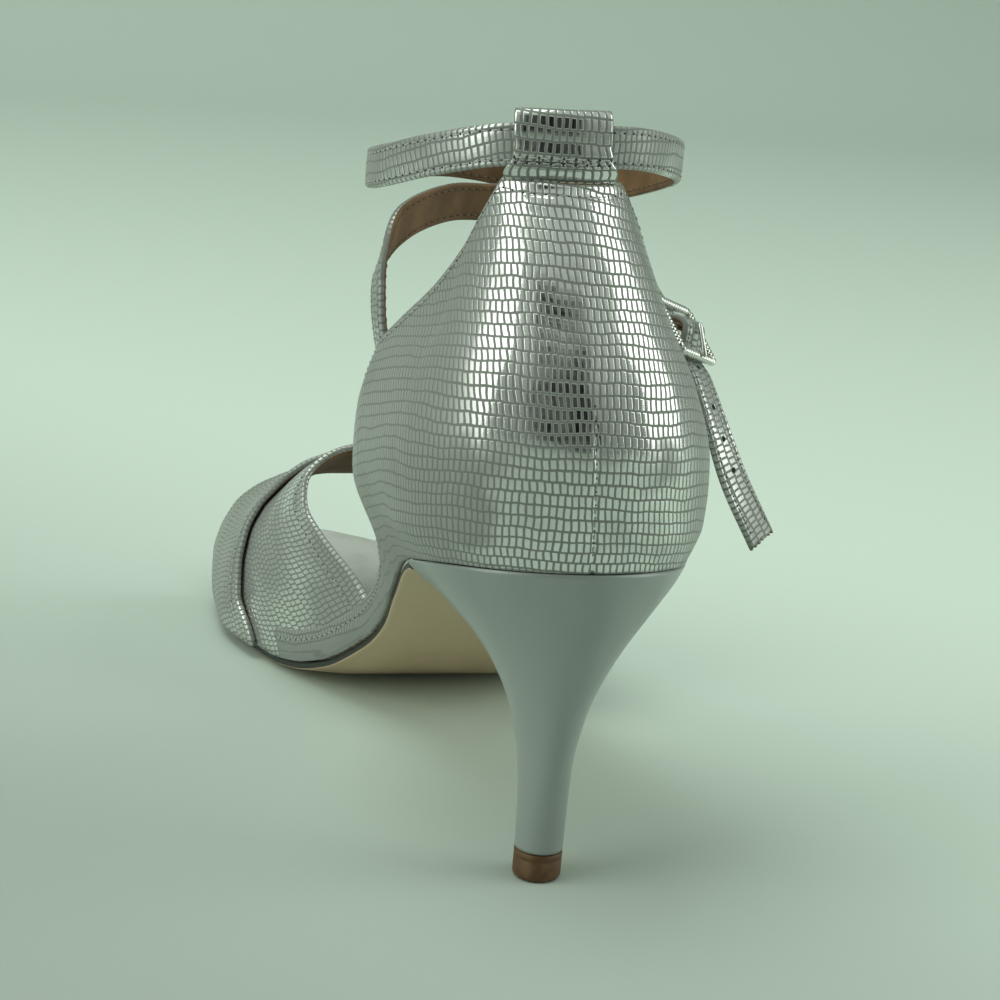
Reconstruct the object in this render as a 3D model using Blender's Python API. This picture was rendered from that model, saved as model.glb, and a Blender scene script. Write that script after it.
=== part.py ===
"""High-heeled dance sandal, right shoe, open toe and closed heel.

Toe along +Y, outer side along +X, floor at Z = 0, origin under the middle of the heel tip. Lengths in metres.
The pieces are worked out with Y = 0 at the back of the heel seat and moved at the end.
"""
import math

import bmesh
import bpy
import numpy as np
from mathutils import Matrix

# main sizes of the last
LENGTH = 0.222
BALL_WIDTH = 0.076
HEEL_HEIGHT = 0.0688
QUARTER_HEIGHT = 0.0704
INSTEP_HEIGHT = 0.0570
HEEL_CAP = 0.027
TOE_CAP = 0.040
BREAST_Y = 0.045

# walls, soles and fits
UPPER_WALL = 0.0016
OUTSOLE_THICK = 0.0030
OUTSOLE_INSET = 0.0010
SOLE_EDGE_SHARE = 0.62
SOLE_EDGE_BAND = 0.30
INSOLE_THICK = 0.0026
INSOLE_CROWN = 0.0012
FIT = 0.0003
END_TRIM = 0.0003
BAND_FIT = 0.0002
BAND_LAP = 0.0011
TOP_LEAN = 0.0068

# heel and its top piece
TIP_RADIUS = 0.0049
TIP_HEIGHT = 0.0060
TIP_Y = 0.0165
TIP_ROUND = 0.0010
TIP_ROUND_SHARE = 0.3

# ankle strap, loop and buckle
STRAP_WIDTH = 0.0080
STRAP_THICK = 0.0016
TAB_WIDTH = 0.0070
LOOP_WIDTH = 0.0172
LOOP_TALL = 0.0136
LOOP_WALL = 0.0013
LOOP_CORNER = 0.45
EDGE_NIP_SHARE = 0.35
BUCKLE_LONG = 0.0150
BUCKLE_WIDE = 0.0148
BUCKLE_BAR = 0.0019
BUCKLE_NIP_SHARE = 0.25
BUCKLE_LIFT = 0.0004
PRONG_RADIUS = 0.00065
PRONG_TAPER = 0.25
PRONG_PAST = 0.0002
BAR_RADIUS = 0.0006

# counts of points
QUARTER_AROUND = 73
QUARTER_UP = 13
BAND_ACROSS = 41
BAND_ALONG = 7
SOLE_STATIONS = 45
SOLE_ACROSS = 7
HEEL_AROUND = 40
HEEL_BACK_POINTS = 28
TIP_AROUND = 28
STRAP_STEPS = 4
TAB_STATIONS = 10
LOOP_AROUND = 20
LOOP_STATIONS = 9
ROD_AROUND = 10
PRONG_STATIONS = 9

# angles in degrees above which an edge is shaded sharp
SHARP_FOLD = 20.0
SHARP_WALL = 35.0
SHARP_BAND = 50.0
SHARP_TIP = 60.0

# plan of the last: share of LENGTH, middle and half width as shares of BALL_WIDTH
PLAN = (
    # along, middle, half
    (0.000, 0.000, 0.350),
    (0.113, 0.000, 0.352),
    (0.225, 0.008, 0.330),
    (0.360, 0.032, 0.288),
    (0.428, 0.052, 0.280),
    (0.473, 0.062, 0.298),
    (0.540, 0.058, 0.368),
    (0.600, 0.038, 0.430),
    (0.660, 0.012, 0.476),
    (0.734, -0.026, 0.498),
    (0.810, -0.050, 0.472),
    (0.900, -0.066, 0.450),
    (1.000, -0.085, 0.440),
)

# side view of the last's underside: share of LENGTH, height as a share of HEEL_HEIGHT
SIDE = (
    # along, height
    (0.000, 1.000),
    (0.060, 0.966),
    (0.125, 0.914),
    (0.225, 0.812),
    (0.290, 0.715),
    (0.360, 0.580),
    (0.430, 0.415),
    (0.490, 0.262),
    (0.550, 0.128),
    (0.600, 0.066),
    (0.640, 0.048),
    (0.740, 0.048),
    (0.830, 0.066),
    (0.920, 0.104),
    (1.000, 0.150),
)

# vamp over the feather line: share of LENGTH, shares of INSTEP_HEIGHT and BAND_BULGE
INSTEP = (
    # along, height, bulge
    (0.450, 1.080, 0.60),
    (0.540, 1.040, 1.00),
    (0.590, 1.000, 1.00),
    (0.640, 0.930, 0.70),
    (0.700, 0.810, 0.38),
    (0.810, 0.610, 0.30),
    (0.900, 0.530, 0.25),
    (1.000, 0.420, 0.20),
)

# top edge of the quarter over the feather line: share of LENGTH, share of QUARTER_HEIGHT
TOPLINE = (
    # along, height
    (0.000, 1.000),
    (0.036, 1.020),
    (0.072, 1.043),
    (0.084, 1.005),
    (0.110, 0.890),
    (0.150, 0.775),
    (0.200, 0.705),
    (0.250, 0.640),
    (0.290, 0.540),
    (0.325, 0.400),
    (0.355, 0.240),
    (0.390, 0.140),
    (0.440, 0.108),
    (0.620, 0.100),
)

# bulge of the quarter's wall: height share of QUARTER_HEIGHT, outward shares of SEAT_BULGE
SEAT_BULGE = 0.0100
BULGE = (
    # height, back, inner flank, outer flank, wing
    (0.00, 0.00, 0.00, 0.00, 0.00),
    (0.12, 0.30, 0.42, 0.42, 0.50),
    (0.30, 0.46, 0.50, 0.50, 0.86),
    (0.50, 0.20, 0.15, 0.20, 0.72),
    (0.70, -0.50, -0.55, -0.42, 0.20),
    (0.85, -1.00, -0.90, -0.74, -0.10),
    (1.00, -1.55, -1.20, -1.02, -0.30),
    (1.05, -1.72, -1.30, -1.12, -0.36),
)
# where along the quarter the back, flank and wing columns hold, in shares of LENGTH
FLANK_AT = 0.11
WING_RUN = 0.12
FADE_FROM = 0.27
FADE_RUN = 0.12
FADE_SHARE = 0.85
LEAN_POWER = 0.8

# edges of the two vamp bands: share across from inner to outer feather line, shares of LENGTH
BAND_REAR = (
    # across, rear edge, front edge
    (0.00, 0.462, 0.740),
    (0.05, 0.494, 0.728),
    (0.10, 0.524, 0.715),
    (0.20, 0.576, 0.690),
    (0.40, 0.618, 0.685),
    (0.60, 0.640, 0.735),
    (0.80, 0.665, 0.795),
    (1.00, 0.670, 0.820),
)
BAND_FRONT = (
    # across, rear edge, front edge
    (0.00, 0.672, 0.880),
    (0.05, 0.700, 0.872),
    (0.20, 0.704, 0.850),
    (0.40, 0.680, 0.820),
    (0.60, 0.630, 0.770),
    (0.80, 0.555, 0.705),
    (1.00, 0.485, 0.670),
)
CREST_SHARE = 0.22
SQUARE_INNER = 2.7
SQUARE_OUTER = 2.3
BAND_BULGE = 0.0070
BAND_BULGE_POWER = 0.8

# heel cover: share of its height, back and front and half width as shares of BREAST_Y, slant, squareness
HEEL_SECTIONS = (
    # level, back, front, half, slant, square
    (1.000, 0.000, 1.000, 0.500, 1.00, 1.00),
    (0.960, 0.010, 0.985, 0.475, 0.85, 0.95),
    (0.880, 0.040, 0.930, 0.400, 0.55, 0.80),
    (0.780, 0.085, 0.850, 0.305, 0.28, 0.60),
    (0.680, 0.130, 0.770, 0.232, 0.12, 0.42),
    (0.580, 0.170, 0.700, 0.180, 0.05, 0.28),
    (0.480, 0.200, 0.640, 0.147, 0.00, 0.15),
    (0.360, 0.226, 0.580, 0.122, 0.00, 0.05),
    (0.200, 0.248, 0.510, 0.112, 0.00, 0.00),
    (0.000, 0.258, 0.476, 0.109, 0.00, 0.00),
)
HEEL_TOP_REF = 0.060

# route of the ankle strap: shares of BALL_WIDTH, LENGTH and the quarter's top height,
# with the way that its upper edge faces
STRAP_ROUTE = (
    # across, along, height, edge x, edge y, edge z
    (-0.3914, 0.2720, 0.7017, 0.0, -1.0, 0.10),
    (-0.4089, 0.2760, 0.7623, 0.0, -1.0, 0.25),
    (-0.4002, 0.2900, 0.8245, 0.0, -0.7, 0.70),
    (-0.3272, 0.3260, 0.8756, 0.0, 0.0, 1.00),
    (-0.1636, 0.3780, 0.8979, 0.0, 0.0, 1.00),
    (0.0263, 0.4100, 0.8963, 0.0, 0.0, 1.00),
    (0.1986, 0.3900, 0.9234, 0.0, 0.0, 1.00),
    (0.3096, 0.3200, 0.9633, 0.0, 0.0, 1.00),
    (0.3359, 0.2340, 1.0016, 0.0, 0.0, 1.00),
    (0.2658, 0.1580, 1.0287, 0.0, 0.0, 1.00),
    (0.1081, 0.0980, 1.0510, 0.0, 0.0, 1.00),
    (-0.0759, 0.0830, 1.0530, 0.0, 0.0, 1.00),
    (-0.2512, 0.1010, 1.0462, 0.0, 0.0, 1.00),
    (-0.3943, 0.1580, 1.0143, 0.0, 0.0, 1.00),
    (-0.4674, 0.2250, 0.9808, 0.0, 0.0, 1.00),
    (-0.4352, 0.3060, 0.9633, 0.0, 0.0, 1.00),
    (-0.3038, 0.3760, 0.9601, 0.0, 0.0, 1.00),
    (-0.1139, 0.4270, 0.9553, 0.0, 0.0, 1.00),
    (0.1052, 0.4400, 0.9314, 0.0, 0.0, 1.00),
    (0.2863, 0.4020, 0.8772, 0.0, 0.0, 1.00),
    (0.3885, 0.3380, 0.8134, -0.1, -0.3, 0.90),
    (0.4265, 0.2760, 0.7639, -0.4, -0.65, 0.60),
    (0.4703, 0.2400, 0.7033, -0.7, -0.65, 0.30),
    (0.5229, 0.2210, 0.6268, -0.75, -0.60, 0.05),
    (0.5860, 0.2090, 0.5410, -0.8, -0.55, -0.20),
    (0.6800, 0.2030, 0.4500, -0.8, -0.55, -0.25),
)

# buckle tab from inside the outer wing, same columns
TAB_ROUTE = (
    (0.3009, 0.2590, 0.6395, 0.0, 1.0, 0.00),
    (0.2877, 0.2590, 0.6746, 0.0, 1.0, 0.00),
    (0.2840, 0.2595, 0.7080, 0.0, 1.0, 0.00),
    (0.3220, 0.2600, 0.7310, 0.0, 1.0, 0.00),
    (0.3700, 0.2610, 0.7340, 0.1, 1.0, -0.10),
    (0.3960, 0.2620, 0.7330, 0.2, 1.0, -0.20),
)
# places on the strap, counted in rows of its route
LOOP_POINT = 11.17
LOOP_REACH = 1.4
BUCKLE_POINT = 21.35
BUCKLE_STEP = 0.05

# colours, roughness and metallic share of each piece
LOOKS = {
    "silver_leather": ((0.56, 0.58, 0.56), 0.38, 0.55),
    "insole_leather": ((0.55, 0.57, 0.53), 0.55, 0.0),
    "sole_leather": ((0.55, 0.47, 0.34), 0.60, 0.0),
    "heel_cover": ((0.36, 0.41, 0.41), 0.35, 0.45),
    "heel_rubber": ((0.17, 0.085, 0.03), 0.60, 0.0),
    "buckle_metal": ((0.70, 0.70, 0.68), 0.22, 1.0),
}


def smooth(table, at, column):
    """Monotone cubic curve through one column of a table."""
    rows = np.array(table, dtype=float)
    xs, ys = rows[:, 0], rows[:, column]
    steps = np.diff(xs)
    slopes = np.diff(ys) / steps
    bends = np.zeros(len(xs))
    for i in range(1, len(xs) - 1):
        if slopes[i - 1] * slopes[i] > 0.0:
            first = 2.0 * steps[i] + steps[i - 1]
            second = steps[i] + 2.0 * steps[i - 1]
            bends[i] = (first + second) / (first / slopes[i - 1] + second / slopes[i])
    bends[0], bends[-1] = slopes[0], slopes[-1]
    at = np.clip(np.asarray(at, dtype=float), xs[0], xs[-1])
    cell = np.clip(np.searchsorted(xs, at) - 1, 0, len(xs) - 2)
    t = (at - xs[cell]) / steps[cell]
    rise = steps[cell] * t * (1.0 - t)
    blend = t * t * (3.0 - 2.0 * t)
    tangents = rise * ((1.0 - t) * bends[cell] - t * bends[cell + 1])
    return ys[cell] * (1.0 - blend) + ys[cell + 1] * blend + tangents


def feather(y):
    """Height of the last's underside at y."""
    return HEEL_HEIGHT * smooth(SIDE, np.asarray(y) / LENGTH, 1)


def caps(y, inset=0.0):
    """Rounding of the plan towards both ends, 0 at the ends and 1 between them."""
    y = np.asarray(y, dtype=float)
    back = np.clip((HEEL_CAP - y) / (HEEL_CAP - inset), 0.0, 1.0)
    front = np.clip((y - LENGTH + TOE_CAP) / (TOE_CAP - inset), 0.0, 1.0)
    return np.sqrt(1.0 - back**2) * np.sqrt(1.0 - front**2)


def plan(y, side, inset=0.0):
    """x of the feather line at y on one side, -1 for inner and +1 for outer."""
    share = np.asarray(y) / LENGTH
    middle = BALL_WIDTH * smooth(PLAN, share, 1)
    half = BALL_WIDTH * smooth(PLAN, share, 2) - inset
    return middle + side * half * caps(y, inset)


def make_object(name, mesh, look):
    """Object with its own material, from a closed mesh."""
    colour, rough, metal = LOOKS[look]
    thing = bpy.data.objects.new(name, mesh)
    bpy.context.scene.collection.objects.link(thing)
    material = bpy.data.materials.new(name + "_" + look)
    material.use_nodes = True
    shader = material.node_tree.nodes["Principled BSDF"]
    shader.inputs["Base Color"].default_value = (*colour, 1.0)
    shader.inputs["Roughness"].default_value = rough
    shader.inputs["Metallic"].default_value = metal
    mesh.materials.append(material)
    return thing


def closed_mesh(name, points, faces, sharp=SHARP_WALL):
    """Mesh from points and faces, made of triangles that all face outward."""
    mesh = bpy.data.meshes.new(name)
    mesh.from_pydata([tuple(p) for p in points], [], faces)
    shape = bmesh.new()
    shape.from_mesh(mesh)
    bmesh.ops.remove_doubles(shape, verts=shape.verts, dist=1e-6)
    bmesh.ops.triangulate(shape, faces=shape.faces)
    bmesh.ops.recalc_face_normals(shape, faces=shape.faces)
    if shape.calc_volume(signed=True) < 0.0:
        bmesh.ops.reverse_faces(shape, faces=shape.faces)
    for edge in shape.edges:
        edge.smooth = edge.calc_face_angle(0.0) < math.radians(sharp)
    for face in shape.faces:
        face.smooth = True
    shape.to_mesh(mesh)
    shape.free()
    return mesh


def slab(name, outer, inner, look):
    """Solid between two grids of points, closed around their border."""
    rows, columns = outer.shape[:2]
    count = rows * columns
    points = np.concatenate([outer.reshape(-1, 3), inner.reshape(-1, 3)])
    faces = []
    for i in range(rows - 1):
        for j in range(columns - 1):
            a = i * columns + j
            faces.append((a, a + 1, a + columns + 1, a + columns))
            faces.append((count + a, count + a + columns, count + a + columns + 1, count + a + 1))
    border = [i * columns for i in range(rows)]
    border += [(rows - 1) * columns + j for j in range(1, columns)]
    border += [i * columns + columns - 1 for i in range(rows - 2, -1, -1)]
    border += list(range(columns - 2, 0, -1))
    for a, b in zip(border, border[1:] + border[:1]):
        faces.append((a, b, count + b, count + a))
    return make_object(name, closed_mesh(name, points, faces), look)


def rings(name, loops, look, sharp=SHARP_WALL):
    """Solid lofted through closed rings of equal count, with flat ends."""
    loops = np.asarray(loops)
    levels, around = loops.shape[:2]
    faces = []
    for i in range(levels - 1):
        for j in range(around):
            k = (j + 1) % around
            faces.append((i * around + j, i * around + k, (i + 1) * around + k, (i + 1) * around + j))
    faces.append(tuple(range(around)))
    faces.append(tuple((levels - 1) * around + j for j in range(around)))
    return make_object(name, closed_mesh(name, loops.reshape(-1, 3), faces, sharp), look)


def normals(grid):
    """Unit normals of a grid of points."""
    along = np.gradient(grid, axis=0)
    up = np.gradient(grid, axis=1)
    cross = np.cross(along, up)
    return cross / np.linalg.norm(cross, axis=2, keepdims=True)


def wall(name, outer, thick, edges_down):
    """Wall of one thickness inside an outer grid; the named edges stay on the feather line."""
    facing = normals(outer)
    middle = outer.mean(axis=(0, 1))
    if np.sum(facing * (outer - middle)) < 0.0:
        facing = -facing
    inner = outer - thick * facing
    for edge in edges_down:
        inner[edge][..., 2] = feather(inner[edge][..., 1])
    return slab(name, outer, inner, "silver_leather")


def quarter_grid():
    """Outer face of the quarter: around the heel by rows, up from the feather line by columns."""
    around, up = QUARTER_AROUND, QUARTER_UP
    end = TOPLINE[-1][0] * LENGTH
    turn = np.linspace(-1.0, 1.0, around)
    foot_y = end * turn**2
    side = np.where(turn < 0.0, -1.0, 1.0)
    foot = np.stack([plan(foot_y, side), foot_y], axis=1)
    run = np.gradient(foot, axis=0)
    run /= np.linalg.norm(run, axis=1, keepdims=True)
    out = np.stack([run[:, 1], -run[:, 0]], axis=1)
    top = QUARTER_HEIGHT * smooth(TOPLINE, foot_y / LENGTH, 1)
    along = foot_y / LENGTH
    to_side = np.clip(along / FLANK_AT, 0.0, 1.0)
    to_wing = np.clip((along - FLANK_AT) / WING_RUN, 0.0, 1.0)
    fade = 1.0 - FADE_SHARE * np.clip((along - FADE_FROM) / FADE_RUN, 0.0, 1.0)
    grid = np.zeros((around, up, 3))
    for j in range(up):
        height = top * j / (up - 1)
        share = height / QUARTER_HEIGHT
        back = smooth(BULGE, share, 1)
        flank = np.where(turn < 0.0, smooth(BULGE, share, 2), smooth(BULGE, share, 3))
        wing = smooth(BULGE, share, 4)
        push = back + (flank - back) * to_side
        push = SEAT_BULGE * fade * (push + (wing - push) * to_wing)
        grid[:, j, 0] = foot[:, 0] + out[:, 0] * push - TOP_LEAN * share**LEAN_POWER
        grid[:, j, 1] = foot[:, 1] + out[:, 1] * push
        grid[:, j, 2] = feather(foot_y) + height
    return grid


def band_grid(edges, lift):
    """Outer face of one vamp band: across by rows, from rear to front edge by columns."""
    grid = np.zeros((BAND_ACROSS, BAND_ALONG, 3))
    for i, share in enumerate(np.linspace(0.0, 1.0, BAND_ACROSS)):
        rear = smooth(edges, share, 1) * LENGTH
        front = smooth(edges, share, 2) * LENGTH
        y = np.linspace(rear, front, BAND_ALONG)
        angle = math.pi * (1.0 - share)
        inner_x, outer_x = plan(y, -1.0) - lift, plan(y, 1.0) + lift
        crest = 0.5 * (inner_x + outer_x) - CREST_SHARE * 0.5 * (outer_x - inner_x)
        height = INSTEP_HEIGHT * smooth(INSTEP, y / LENGTH, 1) + lift
        square = SQUARE_INNER if share < 0.5 else SQUARE_OUTER
        reach = abs(math.cos(angle)) ** (2.0 / square)
        rise = math.sin(angle) ** (2.0 / square) if 0.0 < share < 1.0 else 0.0
        edge_x = inner_x if share < 0.5 else outer_x
        bulge = BAND_BULGE * smooth(INSTEP, y / LENGTH, 2) * abs(math.sin(2.0 * angle)) ** BAND_BULGE_POWER
        grid[i, :, 0] = crest + (edge_x - crest) * reach + (bulge if share > 0.5 else -bulge)
        grid[i, :, 1] = y
        grid[i, :, 2] = feather(y) + height * rise
    return grid


def fused(name, parts):
    """One solid from several that cut into each other."""
    body = parts[0]
    for other in parts[1:]:
        other.hide_render = True
        other.display_type = "WIRE"
        step = body.modifiers.new("join", "BOOLEAN")
        step.operation = "UNION"
        step.solver = "EXACT"
        step.object = other
    bpy.context.view_layer.update()
    graph = bpy.context.evaluated_depsgraph_get()
    mesh = bpy.data.meshes.new_from_object(body.evaluated_get(graph))
    body.modifiers.clear()
    old = body.data
    body.data = mesh
    bpy.data.meshes.remove(old)
    for other in parts[1:]:
        bpy.data.objects.remove(other)
    while len(mesh.materials) > 1:
        mesh.materials.pop()
    body.name = name
    mesh.name = name
    return body


def build_upper():
    """Quarter, low strips and both vamp bands as one wall."""
    quarter = wall("quarter", quarter_grid(), UPPER_WALL, [np.s_[:, 0]])
    rear = wall("rear_band", band_grid(BAND_REAR, BAND_FIT), UPPER_WALL, [np.s_[0], np.s_[-1]])
    front = wall("front_band", band_grid(BAND_FRONT, BAND_LAP), UPPER_WALL, [np.s_[0], np.s_[-1]])
    return fused("upper", [quarter, rear, front])


def plate(name, look, start, end, inset, top, bottom, square_start):
    """Flat-edged sole piece between two heights that follow y."""
    steps = np.linspace(0.0, 1.0, SOLE_STATIONS)
    if square_start:
        ys = start + (end - start) * np.sin(0.5 * math.pi * steps)
    else:
        ys = start + (end - start) * 0.5 * (1.0 - np.cos(math.pi * steps))
    upper_face = np.zeros((SOLE_STATIONS, SOLE_ACROSS, 3))
    lower_face = np.zeros((SOLE_STATIONS, SOLE_ACROSS, 3))
    for i, y in enumerate(ys):
        left, right = plan(y, -1.0, inset), plan(y, 1.0, inset)
        for j in range(SOLE_ACROSS):
            share = j / (SOLE_ACROSS - 1)
            x = left + (right - left) * share
            crown = 1.0 - (2.0 * share - 1.0) ** 2
            upper_face[i, j] = (x, y, top(y, crown))
            lower_face[i, j] = (x, y, bottom(y, crown))
    return slab(name, upper_face, lower_face, look)


def build_outsole():
    """Leather sole from the heel breast to the toe."""
    def top(y, crown):
        return feather(y) - FIT

    def bottom(y, crown):
        return feather(y) - FIT - OUTSOLE_THICK * (1.0 if crown > SOLE_EDGE_BAND else SOLE_EDGE_SHARE)

    start = BREAST_Y + 2.0 * FIT
    end = LENGTH - OUTSOLE_INSET - END_TRIM
    return plate("outsole", "sole_leather", start, end, OUTSOLE_INSET, top, bottom, True)


def build_insole():
    """Padded insole inside the walls."""
    inset = UPPER_WALL + 4.0 * FIT

    def top(y, crown):
        return feather(y) + INSOLE_THICK - INSOLE_CROWN * (1.0 - crown)

    def bottom(y, crown):
        return feather(y)

    end = LENGTH - inset - END_TRIM
    return plate("insole", "insole_leather", inset + END_TRIM, end, inset, top, bottom, False)


def heel_seat():
    """Outline of the heel seat: round the back, then straight across the breast."""
    outline = []
    for j in range(HEEL_BACK_POINTS):
        turn = 2.0 * j / (HEEL_BACK_POINTS - 1) - 1.0
        y = BREAST_Y * turn**2
        outline.append((float(plan(y, -1.0 if turn < 0.0 else 1.0)), y))
    right, left = float(plan(BREAST_Y, 1.0)), float(plan(BREAST_Y, -1.0))
    rest = HEEL_AROUND - HEEL_BACK_POINTS + 1
    for j in range(1, rest):
        outline.append((right + (left - right) * j / rest, BREAST_Y))
    return np.array(outline)


def build_heel():
    """Covered heel, lofted down from the seat to the stem."""
    low = TIP_HEIGHT + FIT
    seat = heel_seat()
    angles = np.arctan2(seat[:, 0], 0.5 * BREAST_Y - seat[:, 1])
    levels = []
    for level, back, front, width, slant, square in HEEL_SECTIONS:
        scale = width / HEEL_SECTIONS[0][3]
        flat_x = seat[:, 0] * scale
        flat_y = BREAST_Y * back + (front - back) * seat[:, 1]
        middle = BREAST_Y * 0.5 * (back + front)
        reach = BREAST_Y * 0.5 * (front - back)
        round_x = BREAST_Y * width * np.sin(angles)
        round_y = middle - reach * np.cos(angles)
        x = flat_x * square + round_x * (1.0 - square)
        y = flat_y * square + round_y * (1.0 - square)
        flat_z = low + (HEEL_TOP_REF - low) * level
        z = flat_z + (feather(seat[:, 1]) - FIT - HEEL_TOP_REF) * slant
        levels.append(np.stack([x, y, z], axis=1))
    return rings("heel", levels, "heel_cover", SHARP_BAND)


def build_heel_tip():
    """Top piece under the heel, with a rounded lower edge."""
    angles = np.linspace(0.0, 2.0 * math.pi, TIP_AROUND, endpoint=False)
    step = TIP_ROUND_SHARE * TIP_ROUND
    loops = []
    for height, radius in (
        (TIP_HEIGHT, TIP_RADIUS),
        (TIP_ROUND, TIP_RADIUS),
        (step, TIP_RADIUS - step),
        (0.0, TIP_RADIUS - TIP_ROUND),
    ):
        loops.append([(radius * math.sin(a), TIP_Y - radius * math.cos(a), height) for a in angles])
    return rings("heel_tip", loops, "heel_rubber", SHARP_TIP)


def route(table):
    """Rows of a route in metres, each with its edge direction."""
    rows = np.array(table)
    rows[:, 0] *= BALL_WIDTH
    rows[:, 1] *= LENGTH
    rows[:, 2] *= HEEL_HEIGHT + QUARTER_HEIGHT
    return rows


def catmull(rows, samples):
    """Smooth curve through all rows, at fractional row numbers."""
    count = len(rows)
    padded = np.concatenate([[2.0 * rows[0] - rows[1]], rows, [2.0 * rows[-1] - rows[-2]]])
    out = []
    for s in samples:
        i = min(int(s), count - 2)
        t = s - i
        a, b, c, d = padded[i : i + 4]
        out.append(
            0.5 * (2.0 * b + (c - a) * t + (2.0 * a - 5.0 * b + 4.0 * c - d) * t**2
                   + (3.0 * b - a - 3.0 * c + d) * t**3)
        )
    return np.array(out)


def frames(points, hints):
    """Run, edge and inward directions along a band."""
    run = np.gradient(points, axis=0)
    run /= np.linalg.norm(run, axis=1, keepdims=True)
    edge = hints - run * np.sum(hints * run, axis=1, keepdims=True)
    edge /= np.linalg.norm(edge, axis=1, keepdims=True)
    inward = np.cross(run, edge)
    return run, edge, inward


def ribbon(name, points, hints, width, thick, look):
    """Flat band with chamfered edges along a path."""
    run, edge, inward = frames(points, hints)
    half, deep = 0.5 * width, 0.5 * thick
    nip = EDGE_NIP_SHARE * thick
    profile = ((half, deep - nip), (half - nip, deep), (nip - half, deep), (-half, deep - nip),
               (-half, nip - deep), (nip - half, -deep), (half - nip, -deep), (half, nip - deep))
    loops = []
    for p, e, n in zip(points, edge, inward):
        loops.append([p + e * a + n * b for a, b in profile])
    return rings(name, loops, look, SHARP_BAND)


def build_strap():
    """Ankle strap from the inner wing to its free end."""
    rows = route(STRAP_ROUTE)
    last = len(rows) - 1
    path = catmull(rows, np.linspace(0.0, last, last * STRAP_STEPS + 1))
    return ribbon("ankle_strap", path[:, :3], path[:, 3:], STRAP_WIDTH, STRAP_THICK, "silver_leather")


def build_tab():
    """Short strap that holds the buckle."""
    rows = route(TAB_ROUTE)
    path = catmull(rows, np.linspace(0.0, len(rows) - 1.0, TAB_STATIONS))
    return ribbon("buckle_tab", path[:, :3], path[:, 3:], TAB_WIDTH, STRAP_THICK, "silver_leather")


def loop_stations():
    """Points of the strap's middle line inside the loop, evenly spaced, with their edge directions."""
    samples = np.linspace(LOOP_POINT - LOOP_REACH, LOOP_POINT + LOOP_REACH, LOOP_STATIONS * STRAP_STEPS)
    path = catmull(route(STRAP_ROUTE), samples)
    steps = np.linalg.norm(np.diff(path[:, :3], axis=0), axis=1)
    lengths = np.concatenate([[0.0], np.cumsum(steps)])
    centre = np.interp(LOOP_POINT, samples, lengths)
    wanted = np.linspace(centre - 0.5 * LOOP_WIDTH, centre + 0.5 * LOOP_WIDTH, LOOP_STATIONS)
    return np.stack([np.interp(wanted, lengths, path[:, k]) for k in range(path.shape[1])], axis=1)


def rounded_ring(tall, deep, count):
    """Points of an oval with squared corners, as edge and inward distances."""
    points = []
    for angle in np.linspace(0.0, 2.0 * math.pi, count, endpoint=False):
        c, s = math.cos(angle), math.sin(angle)
        up = math.copysign(abs(c) ** LOOP_CORNER, c)
        out = math.copysign(abs(s) ** LOOP_CORNER, s)
        points.append((tall * up, deep * out))
    return points


def build_loop():
    """Folded loop round the strap at the back."""
    path = loop_stations()
    run, edge, inward = frames(path[:, :3], path[:, 3:])
    deep_in = 0.5 * STRAP_THICK + FIT
    tall_in = 0.5 * LOOP_TALL - LOOP_WALL
    outline = rounded_ring(tall_in + LOOP_WALL, deep_in + LOOP_WALL, LOOP_AROUND)
    hollow = rounded_ring(tall_in, deep_in, LOOP_AROUND)
    count = LOOP_AROUND
    points, faces = [], []
    for p, e, n in zip(path[:, :3], edge, inward):
        points += [p + e * a + n * b for a, b in outline + hollow]
    for i in range(LOOP_STATIONS - 1):
        for j in range(count):
            k = (j + 1) % count
            a, b = i * 2 * count, (i + 1) * 2 * count
            faces.append((a + j, a + k, b + k, b + j))
            faces.append((a + count + j, b + count + j, b + count + k, a + count + k))
    for i in (0, LOOP_STATIONS - 1):
        a = i * 2 * count
        for j in range(count):
            k = (j + 1) % count
            faces.append((a + j, a + k, a + count + k, a + count + j))
    return make_object("back_loop", closed_mesh("back_loop", points, faces, SHARP_BAND), "silver_leather")


def rod(name, path, sides, radii):
    """Round metal rod along a path, with a side direction and a radius at each point."""
    heading = np.gradient(path, axis=0)
    heading /= np.linalg.norm(heading, axis=1, keepdims=True)
    loops = []
    for place, ahead, side, radius in zip(path, heading, sides, radii):
        beside = np.cross(ahead, side)
        loops.append([place + side * radius * math.cos(a) + beside * radius * math.sin(a)
                      for a in np.linspace(0.0, 2.0 * math.pi, ROD_AROUND, endpoint=False)])
    return rings(name, loops, "buckle_metal", SHARP_BAND)


def buckle_place():
    """Middle, run, edge and inward directions of the strap under the buckle."""
    samples = np.array([BUCKLE_POINT - BUCKLE_STEP, BUCKLE_POINT, BUCKLE_POINT + BUCKLE_STEP])
    path = catmull(route(STRAP_ROUTE), samples)
    run, edge, inward = frames(path[:, :3], path[:, 3:])
    return path[1, :3], run[1], edge[1], inward[1]


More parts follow.
